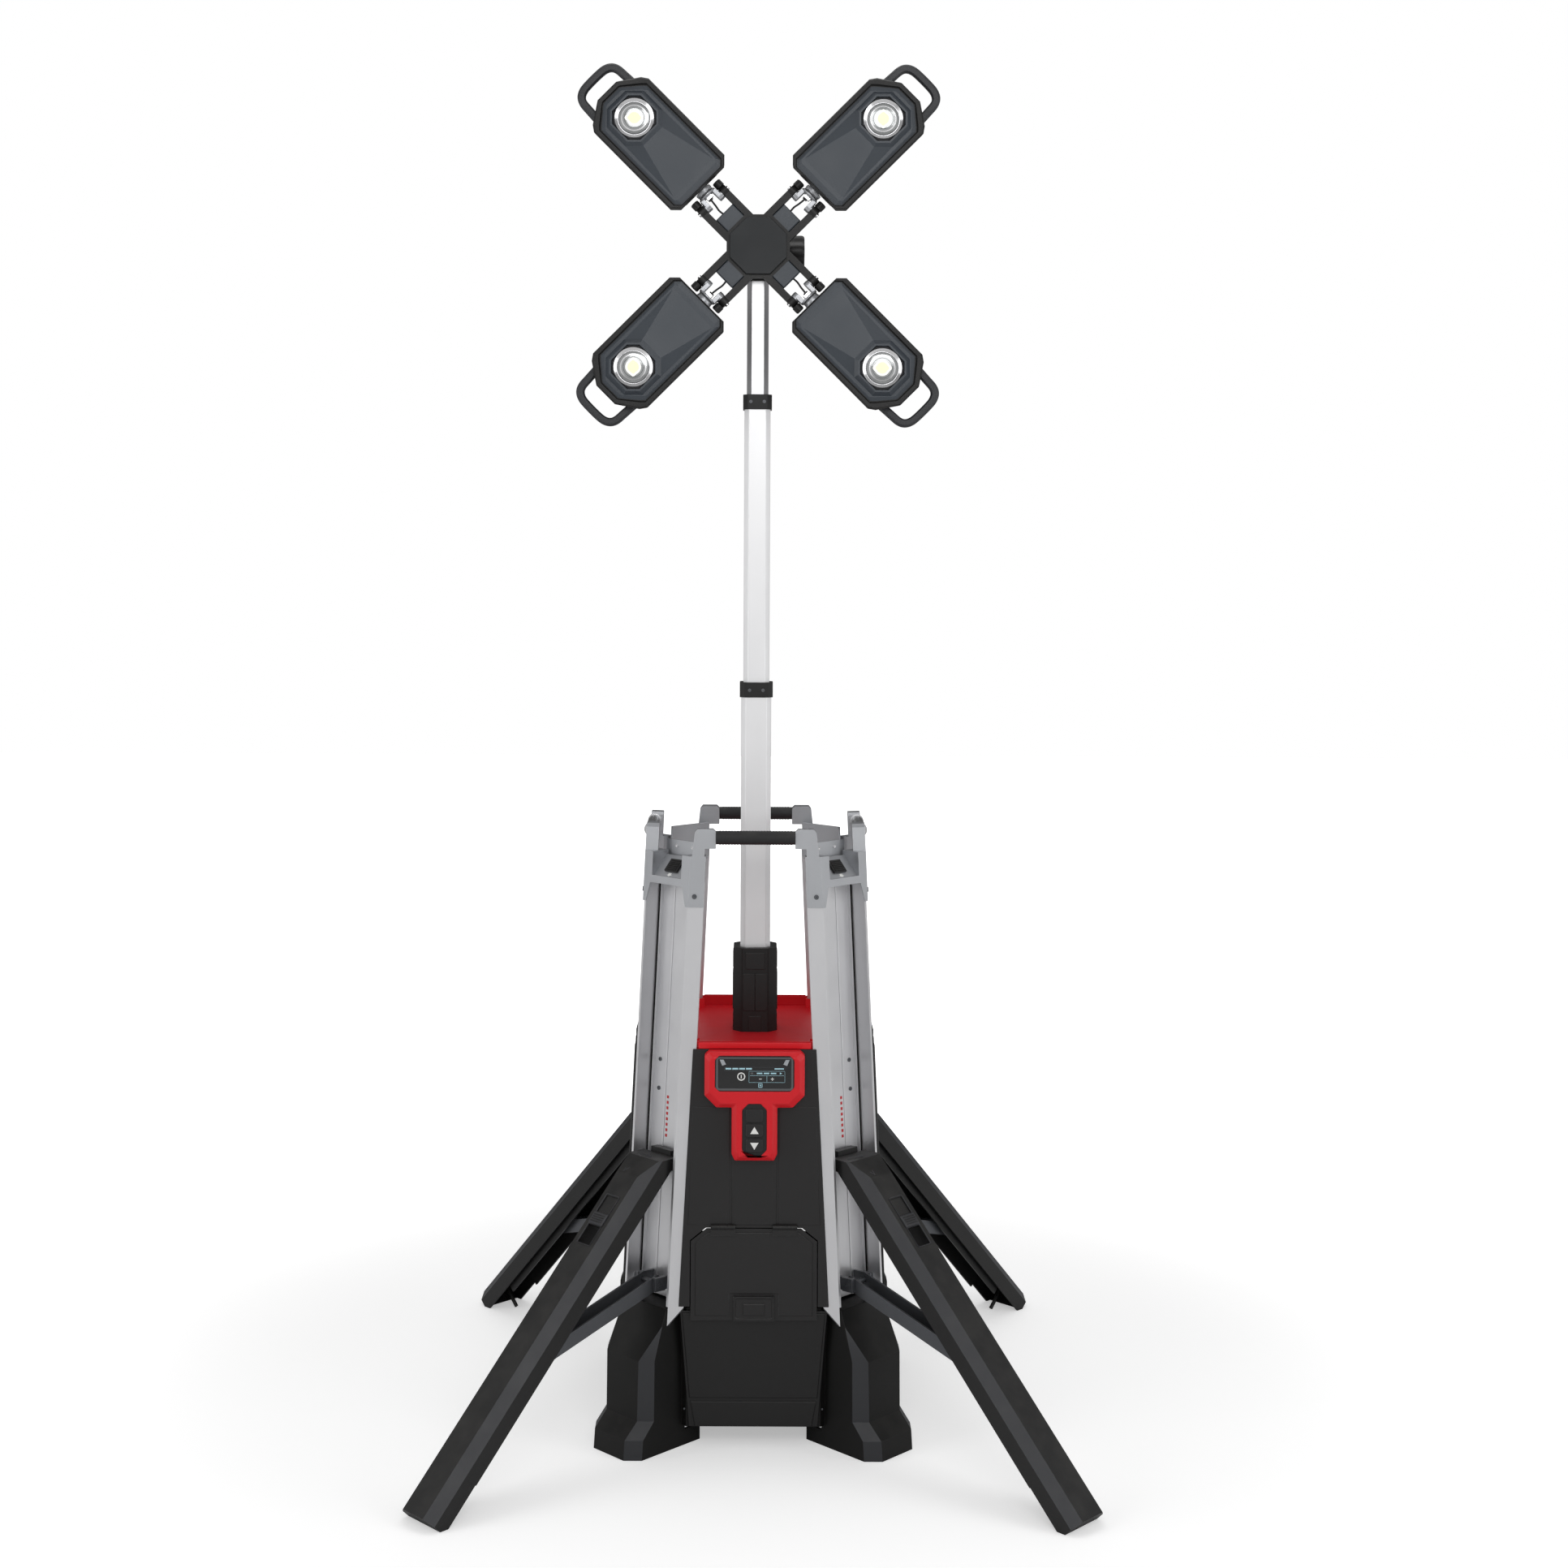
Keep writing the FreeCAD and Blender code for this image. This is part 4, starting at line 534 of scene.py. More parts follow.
def head_case(place):
    bm = bmesh.new()
    half, front = HEAD_HALF, HEAD_FRONT
    sections = [
        (HEAD_BACK, case_outline(half - 24, HEAD_START + 6, HEAD_END - 24, 12)),
        (HEAD_BACK + 5, case_outline(half - 19, HEAD_START + 4, HEAD_END - 19, 13)),
        (HEAD_BACK + 15, case_outline(half - 18.5, HEAD_START + 4, HEAD_END - 18, 13)),
        (HEAD_BACK + 38, case_outline(half - 1.5, HEAD_START, HEAD_END - 1.5, 14)),
        (front - 5, case_outline(half, HEAD_START, HEAD_END, 14)),
        (front, case_outline(half - 2.5, HEAD_START + 0.5, HEAD_END - 2.5, 14)),
        (front - 0.2, case_outline(half - RIM + 2, HEAD_START + 1.5, HEAD_END - RIM + 2, 11, RIM)),
        (front - 4, case_outline(half - RIM, HEAD_START + 3, HEAD_END - RIM, 10, RIM)),
    ]
    stack(bm, place, sections)
    return bm


# %% The head's cooling fins
FINS, FIN_STEP = 9, 21


def head_fins(bm, place):
    """Fins on the back of the case, shorter towards the nose."""
    for i in range(FINS):
        x = HEAD_START + 22 + i * FIN_STEP
        block(bm, place, (x, 0, HEAD_BACK + 1.2), (5, 92 - 3.0 * i, 7))
    for side in (-1, 1):
        block(bm, place, (HEAD_START + 105, side * 51, HEAD_BACK + 4), (170, 3, 6))


# %% [markdown]
# The bail is one bar bent round the head's nose. It is a swept tube: a smooth path, and at each
# point a squarish section that faces outwards. The path has few points, and a Catmull-Rom curve
# rounds its corners.

# %% The head's bail
def smooth_path(points, steps=6):
    """A Catmull-Rom curve through the points."""
    ends = [points[0]] + points + [points[-1]]
    path = []
    for a, b, c, d in zip(ends, ends[1:], ends[2:], ends[3:]):
        for step in range(steps):
            t = step / steps
            path.append(0.5 * (2 * b + (c - a) * t + (2 * a - 5 * b + 4 * c - d) * t * t
                               + (3 * b - a - 3 * c + d) * t ** 3))
    return path + [points[-1]]


def sweep(bm, place, path, outline, up, slot=0):
    """Carry an outline (across, up) along a path, its own up kept towards a fixed direction."""
    rings = []
    for i, spot in enumerate(path):
        ahead = (path[min(i + 1, len(path) - 1)] - path[max(i - 1, 0)]).normalized()
        across = ahead.cross(up).normalized()
        rings.append([bm.verts.new(place @ (spot + across * u + up * v)) for u, v in outline])
    skin(bm, rings, slot)


BAIL_LEVEL = 13


def head_bail(place):
    bm = bmesh.new()
    half_way = [(HEAD_END - 62, 54), (HEAD_END - 30, 50), (HEAD_END, 48), (HEAD_END + 19, 46.5),
                (HEAD_END + 30, 41), (HEAD_END + 36.5, 30), (HEAD_END + 38.5, 14)]
    one = [Vector((x, y, BAIL_LEVEL)) for x, y in half_way]
    other = [Vector((x, -y, BAIL_LEVEL)) for x, y in reversed(half_way)]
    bar = [(-8, -5), (-5.5, -7.5), (5.5, -7.5), (8, -5), (8, 5), (5, 7.5), (-4, 7.5), (-8, 4)]
    sweep(bm, place, smooth_path(one + other), bar, Vector((0, 0, 1)))
    return bm


# %% [markdown]
# The face is drawn corner by corner, because its creases are what the eye reads. Its border is
# flat, the octagon round the lens stands 9 mm up, and the wedge runs from two corners near the
# hub to the octagon's two nearest corners. Its creases stay sharp, down to two degrees.

# %% The head's face
FACE_LEVEL = HEAD_FRONT - 2.5
RING_RISE = 9


def head_face(place):
    bm = bmesh.new()
    outline = case_outline(HEAD_HALF - RIM - 1, HEAD_START + 2, HEAD_END - RIM - 1, 10, RIM)
    border = case_outline(HEAD_HALF - RIM - 6, HEAD_START + 15, HEAD_END - RIM - 8, 5, RIM)
    corner = lambda point, level: bm.verts.new(place @ Vector((*point, level)))
    low = [corner(point, FACE_LEVEL - 5) for point in outline]
    outer = [corner(point, FACE_LEVEL - 1.6) for point in outline]
    inner = [corner(point, FACE_LEVEL) for point in border]
    skin(bm, (low, outer, inner), caps=False)
    foot = octagon((LENS_X, 0), 50, 25)
    rise = {4: 0, 5: RING_RISE * 0.75, 6: RING_RISE * 0.75, 7: 0}
    ring = [corner(point, FACE_LEVEL + rise.get(i, 0)) for i, point in enumerate(foot)]
    crest = [corner(point, FACE_LEVEL + RING_RISE) for point in octagon((LENS_X, 0), 42, 19)]
    lip = [corner(point, FACE_LEVEL + RING_RISE) for point in octagon((LENS_X, 0), 38.5, 17)]
    well = [corner(point, FACE_LEVEL + RING_RISE - 5) for point in octagon((LENS_X, 0), 38, 17)]
    skin(bm, (ring, crest, lip, well), caps=False)
    wedge = [corner((HEAD_START + 24, side * 52.5), FACE_LEVEL + 0.05) for side in (1, -1)]
    half = len(inner) // 2
    upper, lower = inner[:half], inner[half:]
    for corners in (
        (wedge[0], wedge[1], ring[6], ring[5]), (wedge[0], ring[5], ring[4]), (wedge[1], ring[7], ring[6]),
        # The flat part round the wedge and the octagon, each side as a fan along the border.
        (upper[0], lower[-1], wedge[1], wedge[0]),
        (upper[1], upper[0], wedge[0]), (upper[1], wedge[0], ring[4], upper[2]),
        (upper[2], ring[4], ring[3], upper[3]), (upper[3], ring[3], upper[4]),
        (upper[4], ring[3], ring[2], upper[5]),
        (lower[-2], wedge[1], lower[-1]), (lower[-2], lower[-3], ring[7], wedge[1]),
        (lower[-3], lower[-4], ring[0], ring[7]), (lower[-4], lower[-5], ring[0]),
        (lower[-5], lower[-6], ring[1], ring[0]), (lower[-6], upper[5], ring[2], ring[1]),
    ):
        bm.faces.new(corners)
    return bm


# %% [markdown]
# Behind the clear cover lies a moulded optic: a pale outer band that picks up the surroundings,
# darker steps inside it, and the glaring diode in the middle. Concentric rings of a few
# materials give that, and the emitter is the only thing that shines.

# %% The head's lens
OPTIC_RINGS = (  # radius, height above the well's floor, material
    (37.4, 4.4, 0), (31.5, 0.8, 0), (30.6, 1.9, 1), (29.6, 2.2, 2), (25.5, 3.2, 0), (23.0, 3.6, 2),
    (19.5, 4.1, 1), (18.5, 4.2, 2), (15.2, 4.4, 3), (10.8, 4.5, 4),
)
OPTIC_SIDES, STAR = 48, 0.22
WELL, WELL_CUT = 38.2, 17  # the octagonal well's half width and cut corners


def head_lens(place):
    bm = bmesh.new()
    here = place @ Matrix.Translation((LENS_X, 0, FACE_LEVEL + RING_RISE - 5.5))
    turns = [2 * math.pi * i / OPTIC_SIDES for i in range(OPTIC_SIDES)]
    around = [(math.cos(turn), math.sin(turn)) for turn in turns]

    def ring(reaches, height):
        return [bm.verts.new(here @ Vector((reach * x, reach * y, height)))
                for reach, (x, y) in zip(reaches, around)]

    rings = []
    for radius, height, _ in OPTIC_RINGS:
        star = STAR if 10 < radius < 16 else 0
        reaches = [radius * (1 + star * max(0, math.cos(turn * 2 - 1.571)) ** 6) for turn in turns]
        rings.append(ring(reaches, height))
    for outer, inner, (_, _, slot) in zip(rings, rings[1:], OPTIC_RINGS):
        skin(bm, (outer, inner), slot, caps=False)
    bm.faces.new(rings[-1]).material_index = 4
    well = [min(WELL / max(abs(x), abs(y)), (2 * WELL - WELL_CUT) / (abs(x) + abs(y))) for x, y in around]
    skin(bm, (ring(well, 0.3), rings[0]), 1, caps=False)
    return bm


# %% [markdown]
# Each head hangs on a cast fork. The fork's two arms hold the fold axis, its round neck is what
# the head swivels on, and between the arms a small plug takes the lead to the diode.

# %% The head's fork
EYE_END, ARM_START, ARM_END = 22.4, 10.9, 19.5
EYE_RADIUS = 10


def fork(place):
    bm = bmesh.new()
    flat = turned(place, "y")
    for side in (-1, 1):
        levels = sorted((side * ARM_START, side * ARM_END))
        arm = round_outline((0, 0), EYE_RADIUS, 16, math.pi / 2)[:9] + [(16, -EYE_RADIUS), (16, EYE_RADIUS)]
        prism(bm, flat, arm, *levels)
        boss = sorted((side * (ARM_END - 1), side * EYE_END))
        prism(bm, flat, round_outline((0, 0), EYE_RADIUS - 0.4, 24), *boss)
    neck = ((14.5, 17.5), (15.5, 19.4), (18.5, 19.4), (20, 17), (23, 16.4), (25.5, 17.4), (30.2, 17.4))
    stack(bm, turned(place, "x"), [(height, round_outline((0, 0), radius, 40)) for height, radius in neck])
    return bm


def fork_plug(place):
    bm = bmesh.new()
    block(bm, place, (11.2, 0, 1), (7, 13, 12), slot=0)
    block(bm, place, (6.6, 1.5, 1), (4, 9, 8), slot=1)
    block(bm, place, (14.0, -4, 3), (3, 7, 7), slot=1)
    return bm


# %% Build the four heads
for name in HEADS:
    place, ridden = head_place(name), "head_" + name
    case = head_case(place)
    head_fins(case, place)
    keep(case, "case_" + name, ridden, BLACK, 1.1, replaces=["head_housing_" + name])
    keep(head_bail(place), "bail_" + name, ridden, SLATE_AND_PAINTED_LIGHT, 0.8)
    keep(head_face(place), "face_" + name, ridden, SLATE, crease=2)
    keep(head_lens(place), "lens_" + name, ridden, [REFLECTOR, OPTIC, DOME, GLARE, DIODE],
         replaces=["head_lens_" + name])
    keep(fork(place), "fork_" + name, "yoke_" + name, CAST, 0.9,
         replaces=["head_yoke_" + name])
    keep(fork_plug(place), "fork_plug_" + name, "yoke_" + name, [BRIGHT, BLACK], 0.5)
print("heads:", len(HEADS), "lens rings:", len(OPTIC_RINGS))

# %% [markdown]
# The hub is one moulding that holds everything the heads hang on. Slate blocks fill the corners
# between its arms, and each arm ends in an eye with a bright washer and a black cap. Eight caps
# at known places are a job for Geometry Nodes: the tree makes one cap and instances it on eight
# points that carry their own direction.

# %% A tree that puts a turned fitting on points
FACING = "facing"


def geometry_tree(name, inputs):
    """A Geometry Nodes tree with named inputs; returns it with its input and output nodes."""
    tree = bpy.data.node_groups.new(name, "GeometryNodeTree")
    tree.interface.new_socket("Geometry", in_out="INPUT", socket_type="NodeSocketGeometry")
    for label, (kind, value) in inputs.items():
        socket = tree.interface.new_socket(label, in_out="INPUT", socket_type="NodeSocket" + kind)
        if value is not None:
            socket.default_value = value
    tree.interface.new_socket("Geometry", in_out="OUTPUT", socket_type="NodeSocketGeometry")
    return tree, tree.nodes.new("NodeGroupInput"), tree.nodes.new("NodeGroupOutput")


def fastener_tree():
    """A round head with a sunk socket, on every point, along the point's facing."""
    tree, given, made = geometry_tree("fastener", {
        "Radius": ("Float", 0.004), "Height": ("Float", 0.003), "Socket": ("Float", 0.5),
        "Sides": ("Int", 20), "Head": ("Material", None)})
    drum = add(tree, "GeometryNodeMeshCylinder")
    rim = add(tree, "GeometryNodeExtrudeMesh", {"Offset Scale": 0.0, "Individual": False})
    shrink = add(tree, "GeometryNodeScaleElements")
    sink = add(tree, "ShaderNodeMath", {1: -0.6}, operation="MULTIPLY")
    bore = add(tree, "GeometryNodeExtrudeMesh", {"Individual": False})
    facing = add(tree, "GeometryNodeInputNamedAttribute", {"Name": FACING}, data_type="FLOAT_VECTOR")
    align = add(tree, "FunctionNodeAlignRotationToVector", axis="Z")
    copies = add(tree, "GeometryNodeInstanceOnPoints")
    real = add(tree, "GeometryNodeRealizeInstances")
    paint = add(tree, "GeometryNodeSetMaterial")
    wire(tree, (given, "Sides", drum, "Vertices"), (given, "Radius", drum, "Radius"),
         (given, "Height", drum, "Depth"), (drum, "Mesh", rim, "Mesh"), (drum, "Top", rim, "Selection"),
         (rim, "Mesh", shrink, "Geometry"), (rim, "Top", shrink, "Selection"),
         (given, "Socket", shrink, "Scale"),
         (given, "Height", sink, 0), (shrink, "Geometry", bore, "Mesh"), (rim, "Top", bore, "Selection"),
         (sink, "Value", bore, "Offset Scale"), (facing, "Attribute", align, "Vector"),
         (given, "Geometry", copies, "Points"), (bore, "Mesh", copies, "Instance"),
         (align, "Rotation", copies, "Rotation"), (copies, "Instances", real, "Geometry"),
         (real, "Geometry", paint, "Geometry"), (given, "Head", paint, "Material"),
         (paint, "Geometry", made, "Geometry"))
    return tree


FASTENER = fastener_tree()


def fasteners(name, body, material, spots, radius, height, socket=0.5, sides=20):
    """Screw heads or caps; spots are pairs of a place and the direction they face, in metres."""
    mesh = bpy.data.meshes.new(name)
    mesh.from_pydata([tuple(place) for place, _ in spots], [], [])
    facing = mesh.attributes.new(FACING, "FLOAT_VECTOR", "POINT")
    for i, (_, direction) in enumerate(spots):
        facing.data[i].vector = direction.normalized()
    piece = linked(name, mesh)
    grown = piece.modifiers.new("fasteners", "NODES")
    grown.node_group = FASTENER
    values = {"Radius": radius / 1000, "Height": height / 1000, "Socket": socket, "Sides": sides,
              "Head": material}
    for item in FASTENER.interface.items_tree:
        if item.in_out == "INPUT" and item.name in values:
            grown[item.identifier] = values[item.name]
    applied(piece)
    smoothed(piece)
    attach(piece, body)


def spot(place, centre, direction):
    """A point and a direction of a drawing frame, in the world."""
    return place @ Vector(centre), (place.to_3x3() @ Vector(direction)).normalized()


# %% The hub's fittings
ARM_SPREAD, ARM_SIDE = 29.5, 36
BLOCK_FRONT, BLOCK_HALF, BLOCK_CREST = 9.2, 22.6, 20.4
TILT_LEVEL, KNOB_SIDES = 2235, 64


def upright(start, end, half):
    """A rectangle between two places along X."""
    return [(start, -half), (end, -half), (end, half), (start, half)]


def hub_blocks():
    bm = bmesh.new()
    wide, narrow = upright(-68, -29.5, BLOCK_HALF), upright(-66, -31, BLOCK_CREST)
    for name in HEADS:
        stack(bm, head_place(name),
              [(BLOCK_FRONT - 9, wide), (BLOCK_FRONT - 2.6, wide), (BLOCK_FRONT - 0.6, narrow)])
    return bm


def lobed_knob(place, low, high):
    """A hand knob with four soft lobes, turned about the tilt axis."""
    turns = [2 * math.pi * i / KNOB_SIDES for i in range(KNOB_SIDES)]
    levels = ((low, 3.5), (low + 1, 1.2), (low + 3.5, 0), (high - 5, 0), (high - 1.5, 1.6), (high, 5),
              (high, 15), (high - 3, 16.5))
    bm = bmesh.new()
    stack(bm, place, [(level, [((29.6 + 3.8 * math.cos(4 * t) - inset) * math.cos(t),
                                (26.8 + 3 * math.cos(4 * t) - inset) * math.sin(t)) for t in turns])
                      for level, inset in levels])
    return bm


COVER = finish("cover slate", (0.017, 0.019, 0.021), 0.46, grain=1400, bump=0.1, dust=0.1,
               specular=0.3)
softened("hub_frame", BLACK, 1.2)
softened("hub_cover", COVER, 1.0)
tilt_place = MILLIMETRE @ Matrix.Translation((0, 0, TILT_LEVEL)) @ spun(90, "Y")
keep(lobed_knob(tilt_place, 58, 90), "knob", "hub", BLACK, replaces=["tilt_knob"])
keep(hub_blocks(), "hub_blocks", "hub", SLATE, 0.8)
cap_ends, washers, bolts = [], [], []
for name in HEADS:
    place = head_place(name)
    for side in (-1, 1):
        cap_ends.append(spot(place, (23.4, side * ARM_SPREAD, 0), (1, 0, 0)))
        washers.append(spot(place, (12.2, side * ARM_SPREAD, 0), (1, 0, 0)))
        bolts.append(spot(place, (0, side * (ARM_SIDE + 1.4), 0), (0, side, 0)))
fasteners("hub_cap_ends", "hub", BLACK, cap_ends, 7.6, 1.6, 0.6, 24)
fasteners("hub_washers", "hub", BRIGHT, washers, 7.8, 1.8, 0.8, 24)
fasteners("hub_bolts", "hub", BRIGHT, bolts, 4.4, 3.4, 0.55, 18)
print("hub caps:", len(cap_ends))

# %% [markdown]
# A short lead runs from each hub block to the plug on the fork. It crosses the fold axis, and is
# kept here on no body.

# %% The leads at the folds
for name in HEADS:
    place = head_place(name)
    bm = bmesh.new()
    path = smooth_path([Vector(point) for point in ((-31, 4, 3), (-20, 5, 1), (-8, 3, 0), (6, 1.5, 1))], 8)
    sweep(bm, place, path, round_outline((0, 0), 1.9, 10), Vector((0, 0, 1)))
    lead = keep(bm, "lead_" + name, None, RUBBER)
    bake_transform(lead)

# %% [markdown]
# The mast's three sections are the same drawn aluminium, brushed along their length. The solids
# have the right shape, so each only gets its edges rounded. On the upper section the slanted corner
# faces get a second, darker metal, which is painted shade.

# %% The mast
def slanted_faces(face):
    """1, the darker metal that paints shade on the chamfers, for a face that looks out of a corner, so between X
    and Y.
    """
    return 1 if min(abs(face.normal.x), abs(face.normal.y)) > 0.5 else 0


MAST = finish("anodised mast", (0.88, 0.88, 0.89), 0.36, metal=0.6, grain=60, bump=0.05,
              wear_and_highlight_colour=(0.9, 0.9, 0.9), dust=0.05, patch=0.97, brushed=BRUSHED)
softened("mast_tube_lower", MAST, 0.8)
softened("mast_tube_middle", MAST, 0.8)
# The darker metal on the upper tube's slanted corner faces is painted shade.
softened("mast_tube_upper", [MAST, SHADED_CHAMFER], 0.4, paint=slanted_faces)
for node in ("collar_lower", "collar_upper"):
    softened(node, BLACK, 0.8, joined=False)
for node in ("mast_sleeve", "mast_head"):
    softened(node, BLACK, 1.6)


def raised(bm, place, corners, low, high, inset=1.2, slot=0):
    """A raised field: its outline, and the same shrunk towards its middle on top."""
    cx = sum(x for x, _ in corners) / len(corners)
    cy = sum(y for _, y in corners) / len(corners)
    top = [(x - inset * (1 if x > cx else -1), y - inset * (1 if y > cy else -1)) for x, y in corners]
    stack(bm, place, [(low, corners), (high - (high - low) * 0.4, corners), (high, top)], slot=slot)


def tapered(foot_half, foot, top_half, top):
    """A field that is symmetrical about Y."""
    return [(-foot_half, foot), (foot_half, foot), (top_half, top), (-top_half, top)]


def sleeve_panels():
    """Raised panels on each wide side of the sleeve, the largest one with a crease down its middle."""
    bm = bmesh.new()
    for turn in (0, 90, 180, 270):
        place = wall_place(turn, 42)
        for side in (-1, 1):
            half = [(0, 766), (side * 22, 766), (side * 24, 772), (side * 24, 838), (0, 838)]
            raised(bm, place, half[::side], -0.5, 1.3, 0.7)
        raised(bm, place, tapered(19, 846, 19, 878), -0.5, 1.0, 1.0)
        raised(bm, place, tapered(12, 728, 12, 756), -0.5, 0.8, 1.0)
    return bm


keep(sleeve_panels(), "sleeve_panels", "body", PANEL, 0.4)
for body, level, reach in (("mast_lower", 1384, 32), ("mast_middle", 1943, 28), ("mast_upper", 2191, 24)):
    screws = [(Vector((side * 0.013, -(reach + 0.4) / 1000, level / 1000)), Vector((0, -1, 0)))
              for side in (-1, 1)]
    fasteners("collar_screws_" + body, body, STEEL, screws, 3.2, 1.6, 0.5)
print("mast pieces dressed")

# %% [markdown]
# The castings on the posts' tops carry the bars. Each has a ramp on the corner with a ribbed
# black slider that locks the folded leg, a small white arrow below it, and bolts through its
# wings. The ribs of the grips are one more use of the fitting tree, as wide low fittings.

# %% Castings, latches and bars
RAMP_LOW, RAMP_HIGH = Vector((-3, 0, 48)), Vector((-34, 0, 86))
RAMP_SLOPE = math.atan2(RAMP_HIGH.z - RAMP_LOW.z, RAMP_LOW.x - RAMP_HIGH.x)


def ramp_place(azimuth):
    """On a casting's ramp: X down the ramp, Y across, Z out of it, from the ramp's middle."""
    middle = (RAMP_LOW + RAMP_HIGH) / 2
    slope = Matrix.Rotation(RAMP_SLOPE, 4, "Y")
    return post_place(azimuth, FRAME_LEVEL) @ Matrix.Translation(middle) @ slope


def latch_ribs():
    bm = bmesh.new()
    for azimuth in CORNERS.values():
        for i in range(6):
            block(bm, ramp_place(azimuth), (-10 + 4 * i, 0, 4.6), (1.7, 27, 2.2))
    return bm


def ramp_arrows():
    bm = bmesh.new()
    arrow = [(16.5, 4), (20.5, 4), (20.5, 7), (23.8, 0), (20.5, -7), (20.5, -4), (16.5, -4)]
    for azimuth in CORNERS.values():
        prism(bm, ramp_place(azimuth), arrow, 0.1, 0.5)
    return bm


softened("corner_castings", CAST, 1.4)
softened("leg_latches", BLACK, 0.9)
keep(latch_ribs(), "latch_ribs", "body", BLACK, 0.4)
keep(ramp_arrows(), "ramp_arrows", "body", WHITE_PRINT)
wing_bolts = [spot(face_place(turn, 1012), (side * 113, 0, 3.8), (0, 0, 1))
              for turn in (0, 90, 180, 270) for side in (-1, 1)]
wall_bolts = [spot(post_place(azimuth, FRAME_LEVEL), (-41.4, side * 22, 103), (1, 0, 0))
              for azimuth in CORNERS.values() for side in (-1, 1)]
fasteners("wing_bolts", "body", STEEL, wing_bolts, 4.6, 2.4, 0.55)
fasteners("wall_bolts", "body", BRIGHT, wall_bolts, 3.6, 2.0, 0.55)
BAR_LEVEL, BAR_REACH = 1.120, 0.200
grip_ribs = [(Vector((0.0055 * i, side * BAR_REACH, BAR_LEVEL)), Vector((1, 0, 0)))
             for side in (-1, 1) for i in range(-12, 13)]
fasteners("grip_ribs", "body", RUBBER, grip_ribs, 13.1, 3.2, 0.97, 32)
dress(RUBBER, "handle_grips")
dress(BRIGHT, "side_handle_tubes")
tube_rings = [(Vector((side * BAR_REACH, end * 0.070, BAR_LEVEL)), Vector((0, end, 0)))
              for side in (-1, 1) for end in (-1, 1)]
fasteners("tube_rings", "body", BRIGHT, tube_rings, 13.5, 7, 0.95, 32)
print("bolts:", len(wing_bolts) + len(wall_bolts), "ribs:", len(grip_ribs))

# %% [markdown]
# The posts are extrusions, so everything in their channels runs the full length: two low rails
# that the slider runs on, and a rib near one wall, with black blocks beside it that paint the shade
# in the slot. Screws and eight red marks sit on the channel's floor.

# %% The posts
CHANNEL_FLOOR = -38
RAIL_START, RAIL_END = 6, 774
OUTWARD = {"front_right": -1, "front_left": 1, "rear_left": -1, "rear_right": 1}
CHANNELS = [(post_place(azimuth, DECK), OUTWARD[corner]) for corner, azimuth in CORNERS.items()]


def rail(bm, place, middle, foot_half, top_half, rise):
    """A low rail along the channel's floor."""
    low, high = CHANNEL_FLOOR - 0.5, CHANNEL_FLOOR + rise
    profile = [(low, middle - foot_half), (high, middle - top_half), (high, middle + top_half),
               (low, middle + foot_half)]
    prism(bm, place, profile, RAIL_START, RAIL_END)


def post_rails():
    bm = bmesh.new()
    for place, side in CHANNELS:
        for middle in (-18, 18):
            rail(bm, place, middle, 4, 3.4, 1.5)
        rail(bm, place, -50 * side, 2.2, 1.6, 5)
    return bm


# Black blocks in the gap beside the rib: painted shade in the slot.
def post_slot_shade():
    bm = bmesh.new()
    for place, side in CHANNELS:
        block(bm, place, (CHANNEL_FLOOR + 3, -54.6 * side, 390), (5, 1.6, 760))
        block(bm, place, (CHANNEL_FLOOR + 0.1, -54 * side, 390), (0.8, 2.4, 760))
    return bm


def post_marks():
    bm = bmesh.new()
    for place, side in CHANNELS:
        for i in range(8):
            block(bm, place, (CHANNEL_FLOOR, -8 * side, 300 + 10.2 * i), (0.4, 5.4, 5.4))
    return bm


dress(EXTRUDED, "corner_posts")
keep(post_rails(), "post_rails", "body", EXTRUDED, 0.4)
keep(post_slot_shade(), "post_slot_shade", "body", BLACK)
keep(post_marks(), "post_marks", "body", MARK_RED)
post_screws = []
for place, side in CHANNELS:
    for level in (384, 438):
        post_screws.append(spot(place, (CHANNEL_FLOOR + 0.6, -34 * side, level), (1, 0, 0)))
    post_screws.append(spot(place, (-20, 54.4 * side, 372), (0, -side, 0)))
fasteners("post_screws", "body", STEEL, post_screws, 3.9, 1.6, 0.5)
print("post screws:", len(post_screws))

# %% [markdown]
# The console is one red moulding. Its display is a glossy black pane with a bevelled frame,
# charge bars and a few plain symbols. Symbols are thin prisms in print, a fraction of a
# millimetre high, which keeps them crisp.

# %% The console
CONSOLE_FOOT, CONSOLE_FACE = 535, 35.4
DISPLAY_Y, KEYPAD_Y = 694 - CONSOLE_FOOT, 592 - CONSOLE_FOOT


def ring_mark(bm, place, centre, outer, inner, low, high, slot, count=28):
    """A thin flat ring."""
    turns = [math.pi / 2 - 2 * math.pi * i / count for i in range(count + 1)]
    for one, two in zip(turns, turns[1:]):
        quad = [polar(centre, *corner) for corner in ((outer, one), (outer, two), (inner, two), (inner, one))]
        prism(bm, place, quad, low, high, slot)


def frame_ring(bm, place, centre, width, height, radius, wall, low, high, slot=0):
    """A raised frame with round corners and a slanted inside."""
    outside = rounded_box(centre, width, height, radius)
    edge = rounded_box(centre, width - wall, height - wall, radius - wall / 2)
    inside = rounded_box(centre, width - 2 * wall, height - 2 * wall, max(radius - wall, 0.5))
    stack(bm, place, [(low, outside), (high, outside), (high, edge), (low, inside)], caps=False, slot=slot)


